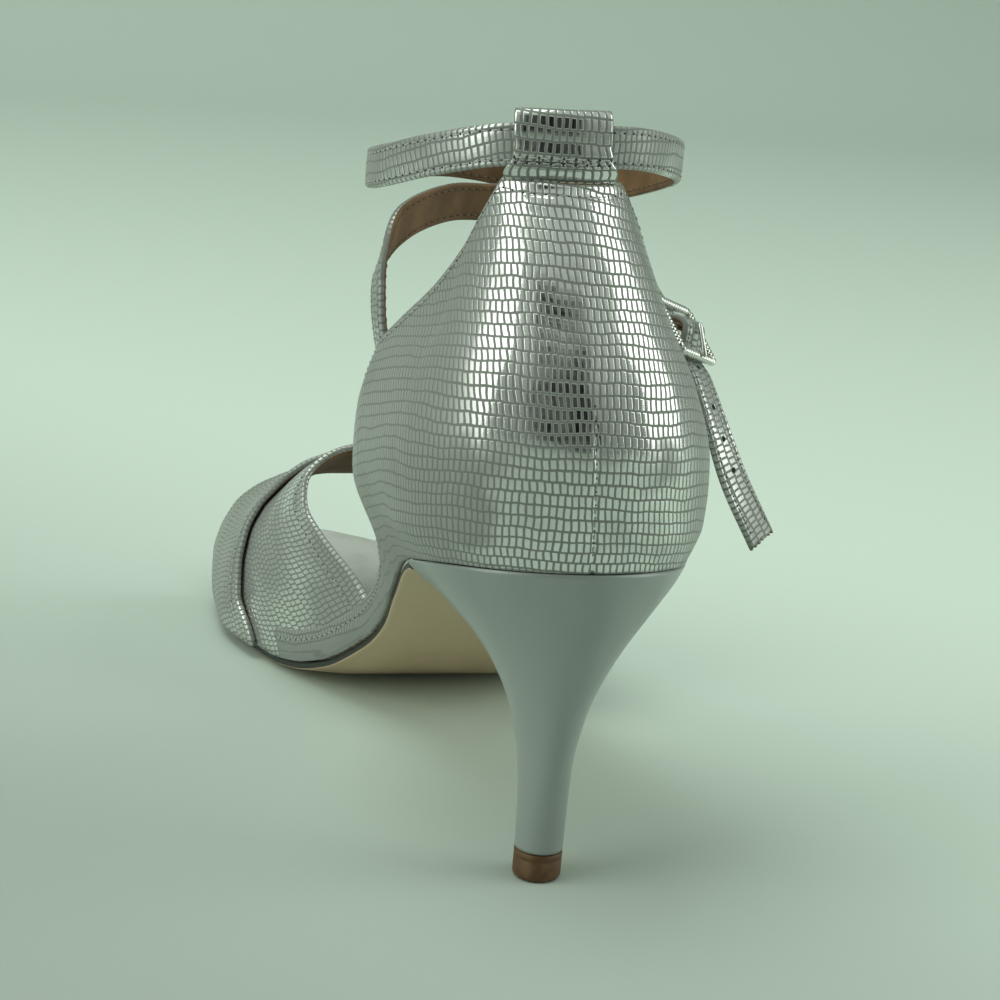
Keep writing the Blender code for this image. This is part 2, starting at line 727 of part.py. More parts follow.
def build_frame(middle, run, edge, inward):
    """Flat rectangular frame with bevelled edges."""
    outer_l, outer_w = 0.5 * BUCKLE_LONG, 0.5 * BUCKLE_WIDE
    inner_l, inner_w = outer_l - BUCKLE_BAR, outer_w - BUCKLE_BAR
    rim = ((outer_l, outer_w), (-outer_l, outer_w), (-outer_l, -outer_w), (outer_l, -outer_w))
    gap = ((inner_l, inner_w), (-inner_l, inner_w), (-inner_l, -inner_w), (inner_l, -inner_w))
    nip = BUCKLE_NIP_SHARE * BUCKLE_BAR
    deep = 0.5 * BUCKLE_BAR
    layers = ((rim, -deep + nip, 0.0), (rim, deep - nip, 0.0), (rim, deep, -nip), (gap, deep, nip),
              (gap, deep - nip, 0.0), (gap, -deep + nip, 0.0), (gap, -deep, nip), (rim, -deep, -nip))
    points, faces = [], []
    for corners, level, grow in layers:
        for a, b in corners:
            along = a + math.copysign(grow, a)
            across = b + math.copysign(grow, b)
            points.append(middle + run * along + edge * across + inward * level)
    for i in range(len(layers)):
        k = (i + 1) % len(layers)
        for j in range(4):
            m = (j + 1) % 4
            faces.append((i * 4 + j, i * 4 + m, k * 4 + m, k * 4 + j))
    return make_object("buckle_frame", closed_mesh("buckle_frame", points, faces, SHARP_FOLD), "buckle_metal")


def build_buckle():
    """Frame over the strap, its prong on top and its bar under the strap."""
    centre, run, edge, inward = buckle_place()
    deep = 0.5 * BUCKLE_BAR
    off = 0.5 * STRAP_THICK + FIT + deep + BUCKLE_LIFT
    middle = centre - inward * off
    build_frame(middle, run, edge, inward)

    reach = 0.5 * BUCKLE_LONG
    start = middle - run * (reach - BUCKLE_BAR - FIT)
    end = middle + run * (reach + PRONG_PAST) - inward * (deep + PRONG_RADIUS + FIT)
    shares = np.linspace(0.0, 1.0, PRONG_STATIONS)
    path = start + (end - start) * shares[:, None]
    rod("buckle_prong", path, [edge] * PRONG_STATIONS, PRONG_RADIUS * (1.0 - PRONG_TAPER * shares))

    side = 0.5 * (BUCKLE_WIDE - BUCKLE_BAR)
    shallow = off - deep - FIT
    under = 0.5 * STRAP_THICK + FIT + BAR_RADIUS
    stops = [(side, -shallow), (side, under - BAR_RADIUS), (side - BAR_RADIUS, under)]
    stops += [(-across, level) for across, level in reversed(stops)]
    path = np.array([centre + edge * across + inward * level for across, level in stops])
    rod("buckle_bar", path, [run] * len(stops), [BAR_RADIUS] * len(stops))


def main():
    """Build every piece."""
    for thing in list(bpy.data.objects):
        bpy.data.objects.remove(thing)
    build_outsole()
    build_insole()
    build_upper()
    build_heel()
    build_heel_tip()
    build_loop()
    build_strap()
    build_tab()
    build_buckle()
    for thing in bpy.data.objects:
        thing.data.transform(Matrix.Translation((0.0, -TIP_Y, 0.0)))


main()
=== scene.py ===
"""Looks of a high-heeled dance sandal in silver lizard-print leather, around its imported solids.

Toe along +Y, outer side along +X, floor at Z = 0, origin under the middle of the heel tip. Lengths in metres,
tables in shares of the named sizes. The last is worked out from the back of the heel seat and moved by TIP_Y.
"""

import math

import bmesh
import bpy
import numpy as np
from mathutils import Matrix, Vector


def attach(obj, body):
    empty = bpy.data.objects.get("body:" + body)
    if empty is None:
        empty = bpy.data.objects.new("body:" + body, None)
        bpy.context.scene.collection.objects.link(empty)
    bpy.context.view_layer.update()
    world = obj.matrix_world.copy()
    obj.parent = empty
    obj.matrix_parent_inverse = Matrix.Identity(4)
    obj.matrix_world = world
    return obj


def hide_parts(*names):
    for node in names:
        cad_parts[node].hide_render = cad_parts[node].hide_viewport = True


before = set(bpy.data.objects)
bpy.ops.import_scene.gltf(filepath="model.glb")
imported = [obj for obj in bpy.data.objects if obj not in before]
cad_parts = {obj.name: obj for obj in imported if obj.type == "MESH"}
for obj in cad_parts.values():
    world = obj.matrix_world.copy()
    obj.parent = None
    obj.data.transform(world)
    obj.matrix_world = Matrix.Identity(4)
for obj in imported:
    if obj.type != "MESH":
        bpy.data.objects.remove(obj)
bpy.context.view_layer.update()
MM = 0.001

# sizes of the last and its pieces, as in the solids
LENGTH = 0.222
BALL_WIDTH = 0.076
HEEL_HEIGHT = 0.0688
QUARTER_HEIGHT = 0.0704
INSTEP_HEIGHT = 0.0570
HEEL_CAP = 0.027
TOE_CAP = 0.040
BREAST_Y = 0.045
UPPER_WALL = 0.0016
OUTSOLE_THICK = 0.0030
OUTSOLE_INSET = 0.0010
SOLE_EDGE_SHARE = 0.62
INSOLE_THICK = 0.0026
INSOLE_CROWN = 0.0012
FIT = 0.0003
BAND_FIT = 0.0002
TOP_LEAN = 0.0068
LEAN_POWER = 0.8
TIP_RADIUS = 0.0049
TIP_HEIGHT = 0.0060
TIP_Y = 0.0165
TIP_ROUND = 0.0010
STRAP_WIDTH = 0.0080
STRAP_THICK = 0.0016
TAB_WIDTH = 0.0070
LOOP_WIDTH = 0.0172
LOOP_TALL = 0.0136
LOOP_WALL = 0.0013
BUCKLE_LONG = 0.0150
BUCKLE_WIDE = 0.0148
BUCKLE_BAR = 0.0019
BAR_RISE = 0.0032
BAR_DIP = 0.0006
FRAME_LIFT = 0.0012
HEEL_TOP_REF = 0.060

PLAN = (
    # along, middle, half
    (0.000, 0.000, 0.350),
    (0.113, 0.000, 0.352),
    (0.225, 0.008, 0.330),
    (0.360, 0.032, 0.288),
    (0.428, 0.052, 0.280),
    (0.473, 0.062, 0.298),
    (0.540, 0.058, 0.368),
    (0.600, 0.038, 0.430),
    (0.660, 0.012, 0.476),
    (0.734, -0.026, 0.498),
    (0.810, -0.050, 0.472),
    (0.900, -0.066, 0.450),
    (1.000, -0.085, 0.440),
)
SIDE = (
    # along, height
    (0.000, 1.000),
    (0.060, 0.966),
    (0.125, 0.914),
    (0.225, 0.812),
    (0.290, 0.715),
    (0.360, 0.580),
    (0.430, 0.415),
    (0.490, 0.262),
    (0.550, 0.128),
    (0.600, 0.066),
    (0.640, 0.048),
    (0.740, 0.048),
    (0.830, 0.066),
    (0.920, 0.104),
    (1.000, 0.150),
)
INSTEP = (
    # along, height, bulge
    (0.450, 1.080, 0.60),
    (0.540, 1.040, 1.00),
    (0.590, 1.000, 1.00),
    (0.640, 0.930, 0.70),
    (0.700, 0.810, 0.38),
    (0.810, 0.610, 0.30),
    (0.900, 0.530, 0.25),
    (1.000, 0.420, 0.20),
)
TOPLINE = (
    # along, height
    (0.000, 1.000),
    (0.036, 1.020),
    (0.072, 1.043),
    (0.084, 1.005),
    (0.110, 0.890),
    (0.150, 0.775),
    (0.200, 0.705),
    (0.250, 0.640),
    (0.290, 0.540),
    (0.325, 0.400),
    (0.355, 0.240),
    (0.390, 0.140),
    (0.440, 0.108),
    (0.620, 0.100),
)
SEAT_BULGE = 0.0100
BULGE = (
    # height, back, inner flank, outer flank, wing
    (0.00, 0.00, 0.00, 0.00, 0.00),
    (0.12, 0.30, 0.42, 0.42, 0.50),
    (0.30, 0.46, 0.50, 0.50, 0.86),
    (0.50, 0.26, 0.15, 0.20, 0.72),
    (0.70, -0.33, -0.50, -0.42, 0.20),
    (0.85, -0.86, -0.86, -0.74, -0.10),
    (1.00, -1.55, -1.20, -1.02, -0.30),
    (1.05, -1.72, -1.30, -1.12, -0.36),
)
FLANK_AT = 0.11
WING_RUN = 0.12
FADE_FROM = 0.27
FADE_RUN = 0.12
FADE_SHARE = 0.85
BAND_REAR = (
    # across, rear edge, front edge
    (0.00, 0.462, 0.740),
    (0.05, 0.494, 0.735),
    (0.10, 0.524, 0.732),
    (0.20, 0.576, 0.726),
    (0.40, 0.618, 0.716),
    (0.60, 0.640, 0.735),
    (0.80, 0.665, 0.795),
    (1.00, 0.670, 0.820),
)
BAND_FRONT = (
    # across, rear edge, front edge
    (0.00, 0.664, 0.880),
    (0.05, 0.694, 0.872),
    (0.20, 0.708, 0.850),
    (0.40, 0.694, 0.820),
    (0.60, 0.638, 0.770),
    (0.80, 0.555, 0.705),
    (1.00, 0.485, 0.670),
)
CREST_SHARE = 0.22
SQUARE_INNER = 2.7
SQUARE_OUTER = 2.3
TOE_ROUNDER = 0.55
BAND_BULGE = 0.0070
BAND_BULGE_POWER = 0.8
HEEL_SECTIONS = (
    # level, back, front, half, slant, square
    (0.000, 0.258, 0.476, 0.109, 0.00, 0.00),
    (0.200, 0.248, 0.510, 0.112, 0.00, 0.00),
    (0.360, 0.226, 0.580, 0.122, 0.00, 0.05),
    (0.480, 0.200, 0.640, 0.147, 0.00, 0.15),
    (0.580, 0.170, 0.700, 0.180, 0.05, 0.28),
    (0.680, 0.130, 0.770, 0.232, 0.12, 0.42),
    (0.780, 0.085, 0.850, 0.305, 0.28, 0.60),
    (0.880, 0.040, 0.930, 0.400, 0.55, 0.80),
    (0.960, 0.010, 0.985, 0.475, 0.85, 0.95),
    (1.000, 0.000, 1.000, 0.500, 1.00, 1.00),
)
STRAP_ROUTE = (
    # across, along, height, edge x, edge y, edge z
    (-0.3914, 0.2720, 0.7017, 0.0, -1.0, 0.10),
    (-0.4089, 0.2760, 0.7623, 0.0, -1.0, 0.25),
    (-0.4002, 0.2900, 0.8245, 0.0, -0.7, 0.70),
    (-0.3272, 0.3260, 0.8756, 0.0, 0.0, 1.00),
    (-0.1636, 0.3780, 0.8979, 0.0, 0.0, 1.00),
    (0.0263, 0.4100, 0.8963, 0.0, 0.0, 1.00),
    (0.1986, 0.3900, 0.9234, 0.0, 0.0, 1.00),
    (0.3096, 0.3200, 0.9633, 0.0, 0.0, 1.00),
    (0.3359, 0.2340, 1.0016, 0.0, 0.0, 1.00),
    (0.2658, 0.1580, 1.0287, 0.0, 0.0, 1.00),
    (0.1081, 0.0980, 1.0510, 0.0, 0.0, 1.00),
    (-0.0759, 0.0830, 1.0530, 0.0, 0.0, 1.00),
    (-0.2512, 0.1010, 1.0462, 0.0, 0.0, 1.00),
    (-0.3943, 0.1580, 1.0143, 0.0, 0.0, 1.00),
    (-0.4674, 0.2250, 0.9808, 0.0, 0.0, 1.00),
    (-0.4352, 0.3060, 0.9633, 0.0, 0.0, 1.00),
    (-0.3038, 0.3760, 0.9601, 0.0, 0.0, 1.00),
    (-0.1139, 0.4270, 0.9553, 0.0, 0.0, 1.00),
    (0.1052, 0.4400, 0.9314, 0.0, 0.0, 1.00),
    (0.2863, 0.4020, 0.8772, 0.0, 0.0, 1.00),
    (0.3885, 0.3380, 0.8134, -0.35, -0.4, 0.80),
    (0.4265, 0.2760, 0.7639, -0.72, -0.60, 0.36),
    (0.4703, 0.2400, 0.7033, -0.76, -0.62, 0.25),
    (0.5229, 0.2210, 0.6268, -0.75, -0.60, 0.05),
    (0.5860, 0.2090, 0.5410, -0.8, -0.55, -0.20),
    (0.6800, 0.2030, 0.4500, -0.8, -0.55, -0.25),
)
TAB_ROUTE = (
    (0.3009, 0.2590, 0.6395, 0.0, 1.0, 0.00),
    (0.2877, 0.2590, 0.6746, 0.0, 1.0, 0.00),
    (0.2840, 0.2595, 0.7080, 0.0, 1.0, 0.00),
    (0.3220, 0.2600, 0.7310, 0.0, 1.0, 0.00),
    (0.3700, 0.2610, 0.7340, 0.1, 1.0, -0.10),
    (0.3960, 0.2620, 0.7330, 0.2, 1.0, -0.20),
)
LOOP_POINT = 11.17
LOOP_REACH = 1.4
BUCKLE_POINT = 21.35

# stitches: length and width of one, step from one to the next, distance from the edge
STITCH_LONG = 0.0014
STITCH_THICK = 0.00032
STITCH_STEP = 0.0022
SEAM_STEP = 0.0026
QUARTER_STITCH_INSET = 0.0017
STITCH_INSET = 0.0012

# holes in the strap's end, as rows of its route
HOLE_POINTS = (21.05, 22.05, 22.78, 23.33, 23.86)
HOLE_RADIUS = 0.00062

# stitch rows of the loop: height above its foot, distance out from its wall
LOOP_SEAMS = ((0.0047, 0.00045), (0.0037, 0.00010))

# grid steps of the pieces
BAND_STEPS = (261, 49)
STRAP_STEPS = 901
TAB_STEPS = 121
LOOP_STEPS = (41, 96)
LOOP_BEND = 0.62
SOLE_STEPS = (181, 41)
HEEL_STEPS = (90, 84, 36)
FRAME_STEPS = 480

# camera and lens
CAMERA_PLACE = (-0.14105, -0.43809, 0.20155)
CAMERA_AHEAD = (0.14094, 0.95980, -0.24275)
CAMERA_RIGHT = (0.98984, -0.13202, 0.05272)
PHOTO_REACH = 1500.0
PHOTO_HALF = 500.0
VIEW_MIDDLE = (695.0, 542.0)
VIEW_HALF = 305.0
SENSOR = 36.0
WORLD_LIGHT = 0.56


# curves
def smooth(table, at, column):
    """Monotone cubic curve through one column of a table: Hermite steps whose slopes are harmonic means."""
    rows = np.array(table, dtype=float)
    xs, ys = rows[:, 0], rows[:, column]
    steps = np.diff(xs)
    slopes = np.diff(ys) / steps
    bends = np.zeros(len(xs))
    for i in range(1, len(xs) - 1):
        if slopes[i - 1] * slopes[i] > 0.0:
            first = 2.0 * steps[i] + steps[i - 1]
            second = steps[i] + 2.0 * steps[i - 1]
            bends[i] = (first + second) / (first / slopes[i - 1] + second / slopes[i])
    bends[0], bends[-1] = slopes[0], slopes[-1]
    at = np.clip(np.asarray(at, dtype=float), xs[0], xs[-1])
    cell = np.clip(np.searchsorted(xs, at) - 1, 0, len(xs) - 2)
    t = (at - xs[cell]) / steps[cell]
    rise = steps[cell] * t * (1.0 - t)
    blend = t * t * (3.0 - 2.0 * t)
    tangents = rise * ((1.0 - t) * bends[cell] - t * bends[cell + 1])
    return ys[cell] * (1.0 - blend) + ys[cell + 1] * blend + tangents


def catmull(rows, samples):
    """Smooth curve through all rows at fractional row numbers: Catmull-Rom cubic on four rows at a time."""
    count = len(rows)
    padded = np.concatenate([[2.0 * rows[0] - rows[1]], rows, [2.0 * rows[-1] - rows[-2]]])
    cell = np.minimum(samples.astype(int), count - 2)
    t = (samples - cell)[:, None]
    a, b, c, d = (padded[cell + k] for k in range(4))
    square = 2.0 * a - 5.0 * b + 4.0 * c - d
    cube = 3.0 * b - a - 3.0 * c + d
    return 0.5 * (2.0 * b + (c - a) * t + square * t**2 + cube * t**3)


def unit(rows):
    """Rows of vectors, each scaled to length 1."""
    return rows / np.linalg.norm(rows, axis=1, keepdims=True)


def circle(count):
    """Cosines and sines of evenly spaced turns."""
    turns = np.linspace(0.0, 2.0 * np.pi, count, endpoint=False)
    return np.cos(turns), np.sin(turns)


def squared(values, power):
    """Power of a value's size with its sign kept, which squares off a circle."""
    return np.sign(values) * np.abs(values) ** power


def feather(y):
    """Height of the last's underside at y."""
    return HEEL_HEIGHT * smooth(SIDE, np.asarray(y) / LENGTH, 1)


def caps(y, inset=0.0):
    """Rounding of the plan towards both ends: quarter circles in y."""
    back = np.clip((HEEL_CAP - y) / (HEEL_CAP - inset), 0.0, 1.0)
    front = np.clip((y - LENGTH + TOE_CAP) / (TOE_CAP - inset), 0.0, 1.0)
    return np.sqrt(1.0 - back**2) * np.sqrt(1.0 - front**2)


def plan(y, side, inset=0.0):
    """x of the feather line at y on one side, -1 for inner and +1 for outer."""
    y = np.asarray(y, dtype=float)
    middle = BALL_WIDTH * smooth(PLAN, y / LENGTH, 1)
    half = BALL_WIDTH * smooth(PLAN, y / LENGTH, 2) - inset
    return middle + side * half * caps(y, inset)


def normals(grid):
    """Unit normals of a grid of points: cross product of its two tangents."""
    cross = np.cross(np.gradient(grid, axis=0), np.gradient(grid, axis=1))
    return cross / np.maximum(np.linalg.norm(cross, axis=2, keepdims=True), 1e-12)


def lengths_along(points, axis):
    """Distance run along one axis of a grid of points."""
    steps = np.linalg.norm(np.diff(points, axis=axis), axis=-1)
    total = np.cumsum(steps, axis=axis)
    start = np.zeros_like(np.take(total, [0], axis=axis))
    return np.concatenate([start, total], axis=axis)


def hump(values, at, wide):
    """Bell curve of height 1 around one place."""
    return np.exp(-(((values - at) / wide) ** 2))


# meshes
def make_piece(name, points, faces, materials, slots=None, uvs=None, replaced=()):
    """Object on body root from points in the last's frame, with a UV map in centimetres."""
    mesh = bpy.data.meshes.new(name)
    shifted = np.asarray(points, dtype=float) + (0.0, -TIP_Y, 0.0)
    mesh.from_pydata(shifted.tolist(), [], [tuple(int(k) for k in f) for f in faces])
    for material in materials:
        mesh.materials.append(material)
    if slots is not None:
        mesh.polygons.foreach_set("material_index", np.asarray(slots, dtype=np.int32))
    if uvs is not None:
        layer = mesh.uv_layers.new(name="leather")
        loops = np.zeros(len(mesh.loops), dtype=np.int32)
        mesh.loops.foreach_get("vertex_index", loops)
        layer.data.foreach_set("uv", (np.asarray(uvs)[loops] * 100.0).astype(np.float32).ravel())
    mesh.polygons.foreach_set("use_smooth", np.ones(len(mesh.polygons), dtype=bool))
    mesh.update()
    thing = bpy.data.objects.new(name, mesh)
    bpy.context.scene.collection.objects.link(thing)
    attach(thing, "root")
    if replaced:
        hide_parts(*replaced)
    return thing


def closed_sections(sections):
    """Points and side quads of a row of closed rings of equal count; the two ends stay open."""
    count, around = sections.shape[:2]
    i, j = np.meshgrid(np.arange(count - 1), np.arange(around), indexing="ij")
    k = (j + 1) % around
    quads = np.stack([i * around + j, i * around + k, (i + 1) * around + k, (i + 1) * around + j], axis=-1)
    return sections.reshape(-1, 3), quads.reshape(-1, 4).tolist()


def ring_ends(count, around):
    """The two faces that close the first and the last of a row of rings."""
    return [list(range(around)), [(count - 1) * around + j for j in range(around)]]


def flat_ends(count, around):
    """Quads that close the first and last ring where a ring is an upper and a lower row of equal count."""
    return [[i * around + k for k in (j, j + 1, around - 2 - j, around - 1 - j)]
            for i in (0, count - 1) for j in range(around // 2 - 1)]


def facing_out(thing):
    """Turns all faces of a closed mesh outward."""
    shape = bmesh.new()
    shape.from_mesh(thing.data)
    bmesh.ops.recalc_face_normals(shape, faces=shape.faces)
    if shape.calc_volume(signed=True) < 0.0:
        bmesh.ops.reverse_faces(shape, faces=shape.faces)
    shape.to_mesh(thing.data)
    shape.free()
    return thing


def rounded_end(edge, facing, ahead, thick, count=3):
    """Half-round edge between a wall's two faces: half circles about the wall's middle line."""
    middle = edge - 0.5 * thick * facing
    turns = np.pi * np.arange(1, count + 1) / (count + 1)
    ring = np.cos(turns)[:, None] * facing[:, None, :] + np.sin(turns)[:, None] * ahead[:, None, :]
    return middle[:, None, :] + 0.5 * thick * ring


def outward_normals(grid):
    """Normals of a curved wall's outer face, turned away from its middle."""
    facing = normals(grid)
    if np.sum(facing * (grid - grid.mean(axis=(0, 1)))) < 0.0:
        facing = -facing
    return facing


def leather_wall(name, outer, uvs, materials, grounded, both_edges):
    """Leather wall: an outer grid, its offset inner face, and half-round edges where it is free."""
    thick = UPPER_WALL
    facing = outward_normals(outer)
    inner = outer - thick * facing
    for edge in grounded:
        inner[edge][..., 2] = feather(inner[edge][..., 1])
    top = rounded_end(outer[:, -1], facing[:, -1], unit(outer[:, -1] - outer[:, -2]), thick)
    bottom = rounded_end(outer[:, 0], facing[:, 0], unit(outer[:, 0] - outer[:, 1]), thick)[:, ::-1]
    if not both_edges:
        bottom = bottom[:, :0]
    sections = np.concatenate([outer, top, inner[:, ::-1], bottom], axis=1)
    rows, up = outer.shape[:2]
    turned = top.shape[1]
    points, faces = closed_sections(sections)
    around = sections.shape[1]
    lined = np.zeros(around, dtype=int)
    lined[up + turned : up + turned + up - 1] = 1
    slots = np.tile(lined, rows - 1).tolist()
    for i in (0, rows - 1):
        start = i * around
        for j in range(up - 1):
            a, b = start + j, start + 2 * up + turned - 1 - j
            faces.append([a, a + 1, b - 1, b])
        faces.append([start + k for k in range(up - 1, up + turned + 1)])
        if both_edges:
            faces.append([start + k for k in range(2 * up + turned - 1, around)] + [start])
        slots += [0] * (len(faces) - len(slots))
    arc = 0.5 * math.pi * thick * np.arange(1, turned + 1)[:, None] / (turned + 1) * (0.0, 1.0)
    strip = uvs[:, -1:] + arc
    foot = uvs[:, :1] - arc[::-1][: bottom.shape[1]]
    spread = np.concatenate([uvs, strip, uvs[:, ::-1], foot], axis=1).reshape(-1, 2)
    facing_out(make_piece(name, points, faces, materials, slots, spread, ["upper"]))


# upper
QUARTER_STEPS = (421, 71)
BACK_CROWDING = 1.35
SEAM_DEEP = 0.00032
SEAM_WIDE = 0.00045
SEAM_TALL = 0.031


def quarter_outer(rows, columns):
    """Quarter's outer face: up from the feather line by a share of the top line, pushed out by the bulge."""
    end = TOPLINE[-1][0] * LENGTH
    share = np.linspace(-1.0, 1.0, rows)
    turn = np.sign(share) * np.abs(share) ** BACK_CROWDING
    foot_y = end * turn**2
    side = np.where(turn < 0.0, -1.0, 1.0)
    foot = np.stack([plan(foot_y, side), foot_y], axis=1)
    run = unit(np.gradient(foot, axis=0))
    out = np.stack([run[:, 1], -run[:, 0]], axis=1)
    out[rows // 2] = (0.0, -1.0)
    along = foot_y / LENGTH
    top = QUARTER_HEIGHT * smooth(TOPLINE, along, 1)
    to_side = np.clip(along / FLANK_AT, 0.0, 1.0)[:, None]
    to_wing = np.clip((along - FLANK_AT) / WING_RUN, 0.0, 1.0)[:, None]
    fade = 1.0 - FADE_SHARE * np.clip((along - FADE_FROM) / FADE_RUN, 0.0, 1.0)[:, None]
    height = top[:, None] * np.linspace(0.0, 1.0, columns)
    level = height / QUARTER_HEIGHT
    back = smooth(BULGE, level, 1)
    flank = np.where(turn[:, None] < 0.0, smooth(BULGE, level, 2), smooth(BULGE, level, 3))
    wing = smooth(BULGE, level, 4)
    push = back + (flank - back) * to_side
    push = SEAT_BULGE * fade * (push + (wing - push) * to_wing)
    grid = np.zeros((rows, columns, 3))
    grid[..., 0] = foot[:, None, 0] + out[:, None, 0] * push - TOP_LEAN * level**LEAN_POWER
    grid[..., 1] = foot[:, None, 1] + out[:, None, 1] * push
    grid[..., 2] = feather(foot_y)[:, None] + height
    return grid


def wall_uvs(grid, middle):
    """Leather coordinates on a wall: distance from its middle row, and distance up from its edge."""
    across = lengths_along(grid, 0)
    across = across - across[middle]
    return np.stack([across, lengths_along(grid, 1)], axis=-1)


def soft_dents(grid, size, reach):
    """Slow swells of hand-lasted leather: sum of a few sines over place."""
    x, y, z = (grid[..., k] / reach for k in range(3))
    swell = np.sin(2.1 * x + 1.3 * z + 0.7) + np.sin(1.7 * z - 2.3 * y + 2.0)
    swell += 0.6 * np.sin(4.1 * z + 3.1 * x)
    return size * swell / 2.6


def build_quarter(silver, lining):
    """Closed back of the upper, with its back seam and the two pleats under the loop."""
    rows, columns = QUARTER_STEPS
    grid = quarter_outer(rows, columns)
    uvs = wall_uvs(grid, rows // 2)
    facing = outward_normals(grid)
    across, up = uvs[..., 0], uvs[..., 1]
    to_top = up[:, -1:] - up
    seam = SEAM_DEEP * hump(across, 0.0, SEAM_WIDE) * np.clip((SEAM_TALL - up) / (4.0 * MM), 0.0, 1.0)
    near_neck = np.exp(-((across / (13.0 * MM)) ** 4))
    bow = to_top - 0.6 * MM * (across / (8.0 * MM)) ** 2
    pleats = 0.35 * MM * hump(bow, 2.6 * MM, 0.8 * MM)
    pleats -= 0.40 * MM * hump(bow, 1.0 * MM, 0.6 * MM)
    calm = np.clip(up / (6.0 * MM), 0.0, 1.0) * np.clip(to_top / (5.0 * MM), 0.0, 1.0)
    moved = soft_dents(grid, 0.16 * MM, 9.0 * MM) * calm - seam + pleats * near_neck
    outer = grid + facing * moved[..., None]
    leather_wall("quarter", outer, uvs, [silver, lining], [np.s_[:, 0]], False)
    return outer, uvs


def band_outer(edges, lift, rows, columns):
    """One vamp band's outer face: a squared arch over the last between two slanting edges."""
    share = np.linspace(0.0, 1.0, rows)[:, None]
    rear = smooth(edges, share, 1) * LENGTH
    front = smooth(edges, share, 2) * LENGTH
    y = rear + (front - rear) * np.linspace(0.0, 1.0, columns)
    angle = math.pi * (1.0 - share)
    inner_x, outer_x = plan(y, -1.0) - lift, plan(y, 1.0) + lift
    crest = 0.5 * (inner_x + outer_x) - CREST_SHARE * 0.5 * (outer_x - inner_x)
    height = INSTEP_HEIGHT * smooth(INSTEP, y / LENGTH, 1) + lift
    ahead = np.clip((y / LENGTH - 0.62) / 0.14, 0.0, 1.0)
    inner_square = SQUARE_INNER - TOE_ROUNDER * ahead * ahead * (3.0 - 2.0 * ahead)
    square = np.where(share < 0.5, inner_square, SQUARE_OUTER)
    reach = np.abs(np.cos(angle)) ** (2.0 / square)
    rise = np.clip(np.sin(angle), 0.0, 1.0) ** (2.0 / square)
    rise[0], rise[-1] = 0.0, 0.0
    edge_x = np.where(share < 0.5, inner_x, outer_x)
    bulge = BAND_BULGE * smooth(INSTEP, y / LENGTH, 2) * np.abs(np.sin(2.0 * angle)) ** BAND_BULGE_POWER
    x = crest + (edge_x - crest) * reach + np.where(share > 0.5, bulge, -bulge)
    return np.stack([x, y, feather(y) + height * rise], axis=-1)


def build_band(name, edges, lift, silver, lining):
    """One vamp band with raised turned edges at its rear and front; returns its outer face."""
    grid = band_outer(edges, lift, *BAND_STEPS)
    uvs = wall_uvs(grid, len(grid) // 2)
    facing = outward_normals(grid)
    from_rear = uvs[..., 1]
    to_front = uvs[:, -1:, 1] - from_rear
    roll = 0.45 * MM * hump(from_rear, 0.0, 1.0 * MM) - 0.2 * MM * hump(from_rear, 2.0 * MM, 0.6 * MM)
    roll += 0.25 * MM * hump(to_front, 0.0, 1.0 * MM)
    share = np.linspace(0.0, 1.0, grid.shape[0])[:, None]
    calm = np.clip(np.minimum(share, 1.0 - share) / 0.06, 0.0, 1.0)
    outer = grid + facing * ((roll + soft_dents(grid, 0.18 * MM, 6.0 * MM)) * calm)[..., None]
    leather_wall(name, outer, uvs, [silver, lining], [np.s_[0], np.s_[-1]], True)
    return outer


# straps
def route(table):
    """Rows of a route in metres, each with its edge direction."""
    rows = np.array(table, dtype=float)
    rows[:, 0] *= BALL_WIDTH
    rows[:, 1] *= LENGTH
    rows[:, 2] *= HEEL_HEIGHT + QUARTER_HEIGHT
    return rows


def band_frames(path):
    """Run, edge and inward directions along a band from its points and edge hints."""
    points, hints = path[:, :3], path[:, 3:]
    run = unit(np.gradient(points, axis=0))
    edge = unit(hints - run * np.sum(hints * run, axis=1, keepdims=True))
    return run, edge, np.cross(run, edge)


def over_the_bar(path, samples):
    """Path lifted over the buckle's centre bar and pressed down under the frame's two ends."""
    run, edge, inward = band_frames(path)
    lengths = lengths_along(path[:, :3], 0)
    away = lengths - np.interp(BUCKLE_POINT, samples, lengths)
    lift = BAR_RISE * hump(away, 0.0, 3.0 * MM)
    lift -= BAR_DIP * hump(np.abs(away), 6.6 * MM, 2.2 * MM)
    path = path.copy()
    path[:, :3] -= inward * lift[:, None]
    return path


def strap_profile(width, thick, count=29):
    """Section of a lined strap: flat inside, crowned outside, with a sunk line for the stitches."""
    half, deep = 0.5 * width, 0.5 * thick
    across = half * np.sin(np.linspace(-0.5 * np.pi, 0.5 * np.pi, count))
    share = np.abs(across) / half
    edge_round = deep * (1.0 - np.clip((share - 0.86) / 0.14, 0.0, 1.0) ** 2 * 0.62)
    sunk = 0.13 * MM * hump(half - np.abs(across), STITCH_INSET, 0.32 * MM)
    out = np.stack([across, -(edge_round + 0.08 * MM * (1.0 - share**2) - sunk)], axis=1)
    back = np.stack([across, edge_round], axis=1)[::-1]
    return np.concatenate([out, back]), count


